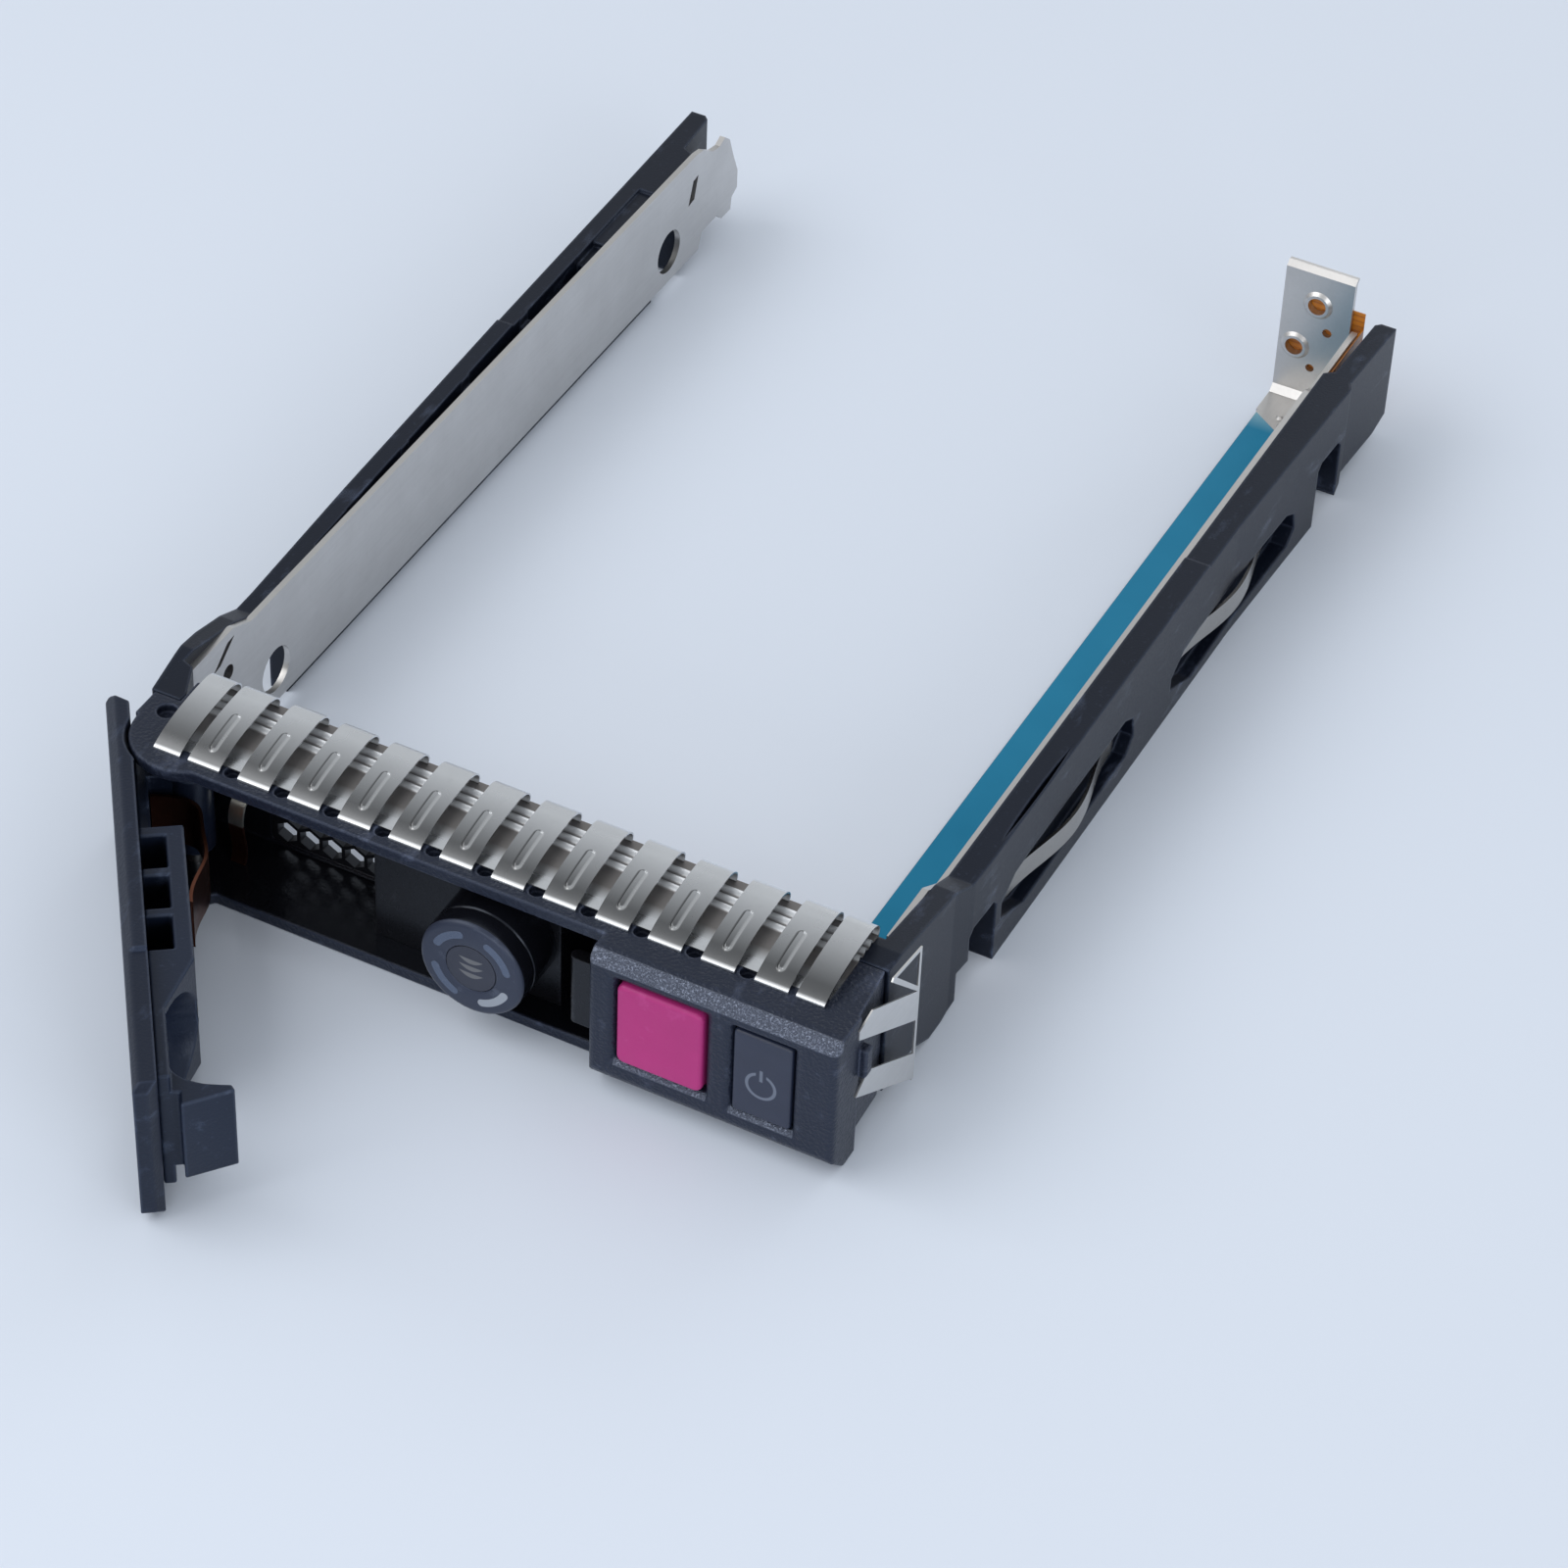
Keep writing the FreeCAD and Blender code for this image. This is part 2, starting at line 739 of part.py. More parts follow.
# status window and board
def status_window():
    front = box(status_x - status_w / 2, status_x + status_w / 2, 0.12, front_wall_t + 0.02,
                status_z - status_h / 2, status_z + status_h / 2)
    back = box(status_x - status_w / 2 - status_flange, status_x + status_w / 2 + status_flange,
               front_wall_t + 0.01, front_wall_t + 0.8,
               status_z - status_h / 2 - status_flange, status_z + status_h / 2 + status_flange)
    return joined(front, back)


def led_board():
    """The small board behind the button block, with its three lamps."""
    board = box(block_left + wall_t + 0.2, head_in - 2 * wall_t - 0.2, board_y, board_y + board_t,
                ledge_t + 0.3, bezel_h - ledge_t - 0.3)
    lamps = [
        box(x - 0.8, x + 0.8, board_y - 0.7, board_y + 0.1, z - 0.5, z + 0.5)
        for x, z in ((button_x, 13.6), (status_x - 2.6, status_z), (status_x - 2.6, status_z - 3))
    ]
    return joined(board, *lamps)


# finger strips
def finger_section():
    """Side view of one finger, from its tip over the bend and down behind it."""
    base = bezel_h + foil_t / 2
    return [
        (finger_tip_y, base + 0.02),
        (finger_tip_y + 0.9, base + finger_rise * 0.2),
        (finger_bend_y - 2.2, base + finger_rise * 0.86),
        (finger_bend_y - 0.9, base + finger_rise),
        (finger_bend_y, base + finger_rise * 0.98),
        (finger_bend_y + 0.75, base + finger_rise * 0.72),
        (finger_bend_y + 1.05, base + finger_rise * 0.4),
        (finger_bend_y + 0.75, base + finger_rise * 0.12),
        (strip_back_y - 0.7, base),
    ]


def bead(x):
    """A raised bead along the middle of a finger."""
    y = (finger_tip_y + finger_bend_y) / 2 - 0.6
    side = bead_w / 2
    end = bead_l / 2
    outline = [
        (-side, -end + side), (-side * 0.5, -end), (side * 0.5, -end), (side, -end + side),
        (side, end - side), (side * 0.5, end), (-side * 0.5, end), (-side, end - side),
    ]
    raised = slab(outline, "y", 0, foil_t + bead_t)
    raised.rotate(Vector(0, 0, 0), Vector(1, 0, 0), -90 + slope_deg())
    rise = finger_rise * 0.2 + (y - finger_tip_y - 0.9) * math.tan(math.radians(slope_deg()))
    raised.translate(Vector(x, y, bezel_h + foil_t + rise + bead_t))
    return raised


def slope_deg():
    return math.degrees(math.atan2(finger_rise * 0.66, finger_bend_y - finger_tip_y - 3.1))


def top_finger_strip():
    spans = finger_spans()
    strip = box(spans[0][0], spans[-1][1], strip_front_y, strip_back_y, bezel_h, bezel_h + foil_t)
    hooks = [bent(finger_section(), foil_t, "x", a, b) for a, b in spans]
    beads = [bead((a + b) / 2) for a, b in spans[1:-1]]
    skirt = box(spans[0][0] + 0.6, spans[-1][1] - 3.4, strip_back_y - foil_t, strip_back_y, bezel_h - 2.2, bezel_h + foil_t / 2)
    ridges = [
        rod(ridge_front_y + k * ridge_pitch, bezel_h, ridge_r, "x", spans[0][0] + 0.6, spans[-1][1] - 3.4)
        for k in range(3)
    ]
    below = box(spans[0][0], spans[-1][1], strip_front_y, strip_back_y, bezel_h - 1, bezel_h)
    ridges = [ridge.cut(below) for ridge in ridges]
    return joined(strip, skirt, *ridges, *hooks, *beads)


def side_finger_strip():
    """The slanted strips on the bezel's right side and their upright edge."""
    y0 = 3.8
    y1 = head_front_y + 3.4
    out = half_w + side_foil_out
    plan = [(half_w + 0.01, y0), (half_w + foil_t + 0.01, y0), (out + foil_t, y1), (out, y1)]
    top = bezel_h + 0.8
    sheet = slab(plan, "z", 1.2, top)
    upper = [(y0, 14.0), (y0, 15.0), (y0 + 2.1, 15.9), (y1, 11.8), (y1, 8.3)]
    lower = [(y0, 7.2), (y0 + 1.9, 9.0), (y1, 4.3), (y1, 1.2)]
    edge = [(y1 - 0.35, 1.2), (y1, 1.2), (y1, top), (y1 - 0.35, top)]
    brace = [(y1 - 4.9, top - 0.35), (y1 - 4.5, top), (y1, 12.2), (y1, 11.6)]
    brow = [(y1 - 4.9, top - 0.35), (y1 - 4.7, top), (y1, top), (y1, top - 0.35)]
    pieces = [sheet.common(slab(p, "x", half_w - 1, out + 1)) for p in (upper, lower, edge, brace, brow)]
    return joined(*pieces)


# rails
def rail_out(widths, y):
    """X of a rail's outer face at a distance back."""
    if y <= widths[0][0]:
        return plate_out + widths[0][1]
    for (y0, w0), (y1, w1) in zip(widths, widths[1:]):
        if y <= y1:
            return plate_out + w0 + (w1 - w0) * (y - y0) / (y1 - y0)
    return plate_out + widths[-1][1]


def rail_profile(flat, end):
    """Side view of a rail: the tall head, the facet, the long strip and its heel."""
    low = rail_h - crease_step
    return [
        (head_front_y, head_low_z),
        (head_front_y, bezel_h),
        (head_front_y + flat, bezel_h),
        (head_slope_y, head_slope_z),
        (facet_y, rail_h),
        (crease_y, rail_h),
        (crease_y + 0.3, low),
        (end, low),
        (end, heel_z + 0.8),
        (end - 2.8, heel_z),
        (heel_y + 1.6, heel_z),
        (heel_y, 0),
        (head_foot_y + 0.6, 0),
        (head_foot_y + 0.4, head_low_z - 1.0),
        (head_foot_y - 2.4, head_low_z - 1.7),
        (head_foot_y - 4.8, head_low_z - 1.7),
        (head_foot_y - 8.2, head_low_z),
    ]


def rail_plan(widths, corner_cut, open_y):
    """Plan view of a rail, from its head round the outer face and back along the plate."""
    end = widths[-1][0]
    outer = [(plate_out + w, y) for y, w in widths]
    inner = rail_out(widths, end) - rail_wall
    rear = [(inner + 0.5, end), (inner, end - 0.5), (inner - 0.4, open_y + 0.8), (plate_out, open_y)]
    corner = [(plate_out, head_back_y), (head_in, head_back_y)]
    if corner_cut:
        corner = [
            (plate_out, head_back_y + 1.2),
            (head_in + 1.5, head_back_y + 0.8),
            (head_in, head_back_y - corner_cut),
        ]
    return [(head_in, head_front_y)] + outer + rear + corner


def pocket_floor(widths, y):
    return rail_out(widths, y + pocket_l / 2) - pocket_depth


def leaf_pocket(widths, y, down):
    """The long pocket for a leaf spring, pointed at both ends."""
    end = y + pocket_l
    low = pocket_z - down
    top = low + pocket_h - down / 2
    outline = [
        (y, low + 2.1),
        (y, top - 1.8),
        (y + 2.6, top - 0.2),
        (y + 6.0, top),
        (end - 2.5, top - 0.2),
        (end - 0.6, top - 1.2),
        (end, low + 2.0),
        (end - 1.5, low + 0.6),
        (y + 5.0, low),
    ]
    return slab(outline, "x", pocket_floor(widths, y), plate_out + 5)


def top_slit():
    """The thin lens-shaped slit in the rail's top."""
    half = slit_l / 2
    sag = slit_w / 2
    r = (half * half + sag * sag) / (2 * sag)
    x = plate_out + slit_in
    near = rod(x + r - sag, slit_y, r, "z", rail_h - slit_depth, rail_h + 1)
    far = rod(x - r + sag, slit_y, r, "z", rail_h - slit_depth, rail_h + 1)
    return near.common(far)


def screw_notch(y):
    """An open-bottomed notch with cut corners, clear of the screw hole."""
    top = screw_z + notch_half
    outline = [
        (y - notch_half, -1),
        (y - notch_half, top - notch_cut),
        (y - notch_half + notch_cut, top),
        (y + notch_half - notch_cut, top),
        (y + notch_half, top - notch_cut),
        (y + notch_half, -1),
    ]
    return slab(outline, "x", plate_out - 1, plate_out + 5)


def groove_run(y0, y1, depth):
    """A run of the groove between the outer band and the plate."""
    plan = [
        (plate_out - 0.5, y0),
        (rail_out(left_widths, y0) - band_w, y0),
        (rail_out(left_widths, y1) - band_w, y1),
        (plate_out - 0.5, y1),
    ]
    return slab(plan, "z", rail_h - depth, rail_h + 1)


def left_groove():
    runs = [groove_run(groove_front_y, groove_back_y, groove_depth)]
    y = groove_front_y + 6.0
    while y + groove_pocket_l < groove_back_y + 1:
        runs.append(groove_run(y, y + groove_pocket_l, groove_pocket_depth))
        y += groove_pocket_pitch
    runs.append(groove_run(groove_back_y - 0.1, groove_back_y + 10.0, groove_depth / 2))
    return runs


def rail(widths, corner_cut, flat, open_y, extra):
    end = widths[-1][0]
    far = plate_out + 5
    body = slab(rail_profile(flat, end), "x", head_in - 1, far)
    body = body.common(slab(rail_plan(widths, corner_cut, open_y), "z", -1, bezel_h + 1))
    rear = pocket_front_y + pocket_pitch
    tools = [leaf_pocket(widths, pocket_front_y, 0), leaf_pocket(widths, rear, rear_pocket_down)]
    tools += [screw_notch(y) for y in screw_ys]
    tools.append(box(head_in - 1, far, head_foot_y, screw_ys[0], -1, foot_gap_z))
    return cut(body, *tools, *extra)


def right_rail():
    channel = box(plate_out - 0.01, plate_out + flex_play, head_back_y, right_widths[-1][0] + 2,
                  flex_z - 0.3, flex_z + flex_h + 0.3)
    return rail(right_widths, 0, head_flat, right_open_y, [channel, top_slit()])


def left_rail():
    return mirrored(rail(left_widths, left_head_cut, left_head_flat, left_open_y, left_groove()))


def leaf_spring(widths, y):
    """A bowed flat spring whose middle stands out past the rail."""
    floor = pocket_floor(widths, y)
    seat = floor + leaf_t / 2 + leaf_gap
    crown = rail_out(widths, y + pocket_l / 2) + leaf_out - leaf_t / 2
    first = y + leaf_in
    last = y + pocket_l - leaf_in
    path = []
    for i in range(9):
        t = i / 8
        path.append((seat + (crown - seat) * math.sin(math.pi * t) ** 2, first + (last - first) * t))
    top = leaf_z + leaf_h
    bow = ribbon(path, leaf_t, "z", leaf_z, top)
    feet = [
        box(floor, seat + 0.05, first - 0.6, first + 0.8, leaf_z, top),
        box(floor, seat + 0.05, last - 0.8, last + 0.6, leaf_z, top),
    ]
    return joined(bow, *feet)


# side plates
def screw_holes(side):
    x0 = min(side * (plate_in - 1), side * (plate_out + 1))
    x1 = max(side * (plate_in - 1), side * (plate_out + 1))
    return [rod(y, screw_z, screw_r, "x", x0, x1) for y in screw_ys]


def left_side_plate():
    outline = [
        (plate_front_y, plate_z),
        (plate_front_y, 14.9),
        (22.4, 14.9),
        (25.4, left_plate_top),
        (plate_back_y - 9.4, left_plate_top),
        (plate_back_y - 7.9, left_plate_top - 0.3),
        (plate_back_y - 5.7, left_plate_top - 1.7),
        (plate_back_y - 4.2, left_plate_top - 2.0),
        (plate_back_y - 3.1, left_plate_top - 1.5),
        (plate_back_y - 2.0, left_plate_top - 2.4),
        (plate_back_y - 1.0, left_plate_top - 5.1),
        (plate_back_y, 6.2),
        (plate_back_y, 4.0),
        (plate_back_y - 1.2, 3.4),
        (plate_back_y - 1.4, 2.0),
        (plate_back_y - 3.4, 2.0),
        (plate_back_y - 4.4, 3.0),
        (plate_back_y - 7.8, 3.0),
        (plate_back_y - 8.6, plate_z),
    ]
    sheet = slab(outline, "x", -plate_out, -plate_in)
    slant = [(109.9, 8.1), (111.2, 8.3), (112.0, 10.9), (110.9, 10.7)]
    front_slant = [(18.9, 11.9), (20.1, 12.1), (22.6, 14.0), (21.4, 13.9)]
    tools = [slab(p, "x", -plate_out - 1, -plate_in + 1) for p in (slant, front_slant)]
    tools.append(rod(21.3, 10.4, 0.85, "x", -plate_out - 1, -plate_in + 1))
    return cut(sheet, *screw_holes(-1), *tools)


def bracket_spots():
    """Place and radius of the bracket's holes, the two collared ones first."""
    x = plate_in + plate_t - bracket_w - 0.9
    return [(x + 3.75, 12.3, 0.95), (x + 1.85, 6.7, 0.95), (x + 5.05, 9.3, 0.5), (x + 3.7, 4.5, 0.45)]


def bracket_holes():
    return [
        rod(px, plate_z + pz, r, "y", bracket_y - plate_t - 1, bracket_y + 1)
        for px, pz, r in bracket_spots()
    ]


def bracket_collars():
    """Tapered collars pressed up round the two larger holes."""
    face = bracket_y - plate_t
    return [
        Part.makeCone(r + collar_w, r + 0.3, collar_h, Vector(px, face + 0.02, plate_z + pz), Vector(0, -1, 0))
        for px, pz, r in bracket_spots()[:2]
    ]


def flange_rivets():
    """Two small domed rivets at the flange's rear outer corner."""
    top = plate_z + plate_t - 0.02
    return [Part.makeCone(0.42, 0.22, 0.3, Vector(x, y, top)) for x, y in ((29.9, 115.6), (30.5, 114.3))]


def right_side_plate():
    outline = [
        (plate_front_y, plate_z),
        (plate_front_y, 14.9),
        (22.4, 14.9),
        (25.4, plate_top),
        (107.0, plate_top),
        (108.6, 12.2),
        (plate_back_y - 1.6, 12.2),
        (plate_back_y - 1.6, 3.0),
        (plate_back_y - 4.0, plate_z),
    ]
    wall = slab(outline, "x", plate_in, plate_out)
    inner = plate_out - flange_w
    flange = box(inner, plate_out, plate_front_y + 0.6, plate_back_y - 4.0, plate_z, plate_z + plate_t)
    left = plate_in + plate_t - bracket_w - 0.9
    right = plate_out - 1.0
    y_out = bracket_y
    fold = [
        (plate_back_y - 5.0, plate_z),
        (y_out - fold_r, plate_z),
        (y_out - 0.38 * fold_r, plate_z + 0.38 * fold_r),
        (y_out, plate_z + fold_r),
        (y_out, plate_z + bracket_h - 0.5),
        (y_out + 0.5, plate_z + bracket_h),
        (y_out, plate_z + bracket_h + 0.1),
        (y_out - plate_t, plate_z + bracket_h - 0.4),
        (y_out - plate_t, plate_z + fold_r),
        (y_out - fold_r, plate_z + plate_t),
        (plate_back_y - 5.0, plate_z + plate_t),
    ]
    bracket = slab(fold, "x", left, right)
    body = joined(wall, flange, bracket, *bracket_collars(), *flange_rivets())
    tab = rod(plate_in - 0.9, 111.2, 0.45, "z", plate_z - 1, plate_z + 2)
    return cut(body, *screw_holes(1), *bracket_holes(), tab)


def insulator_film():
    inner = plate_out - flange_w + 0.1
    outer = plate_in - 0.1
    outline = [
        (inner, film_front_y),
        (outer, film_front_y),
        (outer, film_back_y - 4.0),
        (outer - 4.2, film_back_y),
        (inner, film_back_y + 2.2),
    ]
    return slab(outline, "z", plate_z + plate_t, plate_z + plate_t + film_t)


# flex circuit
def flex_circuit():
    z0 = flex_z
    z1 = flex_z + flex_h
    y_back = bezel_d + 0.08
    x_rail = plate_out + 0.04
    left = housing_left - 0.25
    tab = box(left - 1.3, left + flex_t, back_wall_y - 0.2, back_wall_y - 0.2 + flex_t, 8.6, 11.4)
    tab_leg = box(left, left + flex_t, back_wall_y - 0.2, y_back + flex_t, 8.6, 11.4)
    front = box(left, head_in - 3.6, y_back, y_back + flex_t, z0, z1)
    step = box(head_in - 3.6 - flex_t, head_in - 3.6, y_back, head_back_y + 0.1 + flex_t, z0, z1)
    cross = box(head_in - 3.6 - flex_t, x_rail + flex_t, head_back_y + 0.1, head_back_y + 0.1 + flex_t, z0, z1)
    side = box(x_rail, x_rail + flex_t, head_back_y + 0.1, bracket_y + 0.06 + flex_t, z0, z1)
    left = plate_out - bracket_w - 0.2
    rear = box(left, x_rail + flex_t, bracket_y + 0.06, bracket_y + 0.06 + flex_t, z0, z1 + 1.9)
    pads = box(left, plate_out - 1.2, bracket_y + 0.06, bracket_y + 0.06 + flex_t, plate_z + 2.0, plate_z + bracket_h - 1.2)
    return joined(front, tab, tab_leg, step, cross, side, rear, pads)


nodes = {
    "bezel_housing": bezel_housing,
    "vent_mesh": vent_mesh,
    "ring_housing": ring_housing,
    "ring_body": ring_body,
    "ring_light_windows": ring_windows,
    "ring_cap": ring_cap,
    "status_window": status_window,
    "led_board": led_board,
    "top_finger_strip": top_finger_strip,
    "side_finger_strip": side_finger_strip,
    "left_rail": left_rail,
    "right_rail": right_rail,
    "left_side_plate": left_side_plate,
    "right_side_plate": right_side_plate,
    "insulator_film": insulator_film,
    "flex_circuit": flex_circuit,
    "left_front_leaf_spring": lambda: mirrored(leaf_spring(left_widths, pocket_front_y)),
    "left_rear_leaf_spring": lambda: mirrored(leaf_spring(left_widths, pocket_front_y + pocket_pitch)),
    "right_front_leaf_spring": lambda: leaf_spring(right_widths, pocket_front_y),
    "right_rear_leaf_spring": lambda: leaf_spring(right_widths, pocket_front_y + pocket_pitch),
    "hinge_pin": hinge_pin,
    "cavity_spring": cavity_spring,
    "lever_cover": lever_cover,
    "lever_frame": lever_frame,
    "lever_spring": lever_spring,
    "release_button": release_button,
    "latch_catch": latch_catch,
    "latch_spring": latch_spring,
}

os.makedirs("parts", exist_ok=True)
for name, make in nodes.items():
    shape = make()
    shape.exportStep("parts/" + name + ".step")
    print(name, shape.ShapeType, len(shape.Solids), shape.isValid(), round(shape.Volume, 2))
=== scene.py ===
# Hot swap drive caddy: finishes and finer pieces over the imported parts. The scene is in metres. Measures of
# the part itself are in millimetres, turned into metres by mm; those of the stage and camera are in metres.
import bmesh
import bpy
import math
import numpy as np
from mathutils import Matrix, Vector


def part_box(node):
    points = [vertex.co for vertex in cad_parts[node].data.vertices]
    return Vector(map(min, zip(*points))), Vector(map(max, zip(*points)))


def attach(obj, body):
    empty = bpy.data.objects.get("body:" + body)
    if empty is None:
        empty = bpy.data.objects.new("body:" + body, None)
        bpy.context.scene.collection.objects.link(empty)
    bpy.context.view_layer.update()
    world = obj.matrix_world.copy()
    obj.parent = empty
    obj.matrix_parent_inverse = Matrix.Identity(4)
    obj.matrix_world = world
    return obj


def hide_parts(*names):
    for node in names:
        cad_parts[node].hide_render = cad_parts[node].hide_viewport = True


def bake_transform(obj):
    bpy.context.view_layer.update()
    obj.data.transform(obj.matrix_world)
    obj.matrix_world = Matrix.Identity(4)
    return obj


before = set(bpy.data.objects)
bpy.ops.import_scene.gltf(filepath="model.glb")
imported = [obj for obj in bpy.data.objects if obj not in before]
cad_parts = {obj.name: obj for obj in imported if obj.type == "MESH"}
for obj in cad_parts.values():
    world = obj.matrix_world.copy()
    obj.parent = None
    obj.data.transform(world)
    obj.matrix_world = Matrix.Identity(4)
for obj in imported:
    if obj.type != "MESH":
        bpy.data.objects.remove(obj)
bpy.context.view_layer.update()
print("frame loaded,", len(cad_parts), "nodes")

mm = 0.001


class Wire:
    # one output socket of a node; sums, products and powers of wires become Math nodes
    def __init__(self, tree, socket=None):
        self.tree = tree
        self.socket = socket

    def node(self, kind, settings=None, inputs=None, out=0):
        # a new node with its settings and inputs filled in, as the wire from one of its outputs
        made = self.tree.nodes.new(kind)
        for key, value in (settings or {}).items():
            setattr(made, key, value)
        for key, value in (inputs or {}).items():
            if isinstance(value, Wire):
                self.tree.links.new(value.socket, made.inputs[key])
            elif value is not None:
                made.inputs[key].default_value = value
        return Wire(self.tree, made.outputs[out])

    def math(self, operation, a, b=None, clamp=False):
        return self.node("ShaderNodeMath", {"operation": operation, "use_clamp": clamp}, {0: a, 1: b})

    def __add__(self, other):
        return self.math("ADD", self, other)

    def __radd__(self, other):
        return self.math("ADD", other, self)

    def __sub__(self, other):
        return self.math("SUBTRACT", self, other)

    def __rsub__(self, other):
        return self.math("SUBTRACT", other, self)

    def __mul__(self, other):
        return self.math("MULTIPLY", self, other)

    def __rmul__(self, other):
        return self.math("MULTIPLY", other, self)

    def __pow__(self, other):
        return self.math("POWER", self, other)

    def above(self, edge, soft=0.0001):
        # 0 under the edge, 1 over it, with a short ramp between
        return self.math("DIVIDE", self - (edge - soft), 2 * soft, clamp=True)

    def below(self, edge, soft=0.0001):
        # 1 under the edge, 0 over it
        return 1 - self.above(edge, soft)

    def apart(self, other):
        # how far two values are apart
        return self.math("ABSOLUTE", self - other)

    def most(self, other):
        # the larger of two values
        return self.math("MAXIMUM", self, other)


class Finish:
    # a material under construction, with the object's own coordinates ready to use
    def __init__(self, name):
        self.material = bpy.data.materials.new(name)
        self.material.use_nodes = True
        tree = self.material.node_tree
        tree.nodes.clear()
        self.pen = Wire(tree)
        self.output = tree.nodes.new("ShaderNodeOutputMaterial")
        self.place = self.pen.node("ShaderNodeTexCoord", out="Object")
        split = self.pen.node("ShaderNodeSeparateXYZ", inputs={0: self.place})
        owner = split.socket.node
        self.x, self.y, self.z = [Wire(tree, owner.outputs[i]) for i in range(3)]

    def noise(self, size, detail=2.0, rough=0.5, stretch=(1, 1, 1)):
        # cloudy noise whose features are about size metres across
        where = self.place
        if stretch != (1, 1, 1):
            where = self.pen.node("ShaderNodeMapping", inputs={"Vector": where, "Scale": stretch})
        return self.pen.node("ShaderNodeTexNoise", {"noise_dimensions": "3D"},
                             {"Vector": where, "Scale": 1 / size, "Detail": detail, "Roughness": rough})

    def grains(self, size):
        # round cells about size metres across, dark at each centre
        return self.pen.node("ShaderNodeTexVoronoi", {"feature": "F1"},
                             {"Vector": self.place, "Scale": 1 / size})

    def blend(self, factor, a, b):
        # from a to b as the factor goes from 0 to 1; either may be a wire or a plain colour
        ends = [v if isinstance(v, Wire) else (*v, 1) for v in (a, b)]
        return self.pen.node("ShaderNodeMix", {"data_type": "RGBA"},
                             {"Factor": factor, 6: ends[0], 7: ends[1]}, out=2)

    def roundEdges(self, radius):
        # a normal that rounds the sharp edges of a moulded piece
        return self.pen.node("ShaderNodeBevel", {"samples": 4}, {"Radius": radius})

    def edges(self, rounded):
        # 1 along sharp edges, from how far the rounded normal leans from the true one
        flat = self.pen.node("ShaderNodeNewGeometry", out="Normal")
        dot = self.pen.node("ShaderNodeVectorMath", {"operation": "DOT_PRODUCT"},
                            {0: rounded, 1: flat}, out="Value")
        return self.pen.math("MULTIPLY", 1 - dot, 6.0, clamp=True)

    def inside(self, low, high, soft=0.00005):
        # 1 inside the box between two corners in millimetres; None leaves a side open
        mask = 1.0
        for axis, a, b in zip((self.x, self.y, self.z), low, high):
            if a is not None:
                mask = axis.above(a * mm, soft) * mask
            if b is not None:
                mask = axis.below(b * mm, soft) * mask
        return mask

    def bump(self, height, deep, after=None):
        # a normal tilted by a height that reaches deep metres; after is a normal to start from
        return self.pen.node("ShaderNodeBump", inputs={"Height": height, "Distance": deep, "Normal": after})

    def done(self, colour, rough, metal=0.0, normal=None, **constants):
        # the finished material; constants are further sockets of the shader, by name
        base = colour if isinstance(colour, Wire) else (*colour, 1)
        sockets = {"Base Color": base, "Roughness": rough, "Metallic": metal, "Normal": normal}
        sockets.update(constants)
        shader = self.pen.node("ShaderNodeBsdfPrincipled", {}, sockets)
        self.pen.tree.links.new(shader.socket, self.output.inputs["Surface"])
        return self.material


def srgb(r, g, b):
    # an 8 bit screen colour as the linear one that shaders take
    levels = np.array([r, g, b]) / 255
    linear = np.where(levels <= 0.04045, levels / 12.92, ((levels + 0.055) / 1.055) ** 2.4)
    return tuple(float(v) for v in linear)


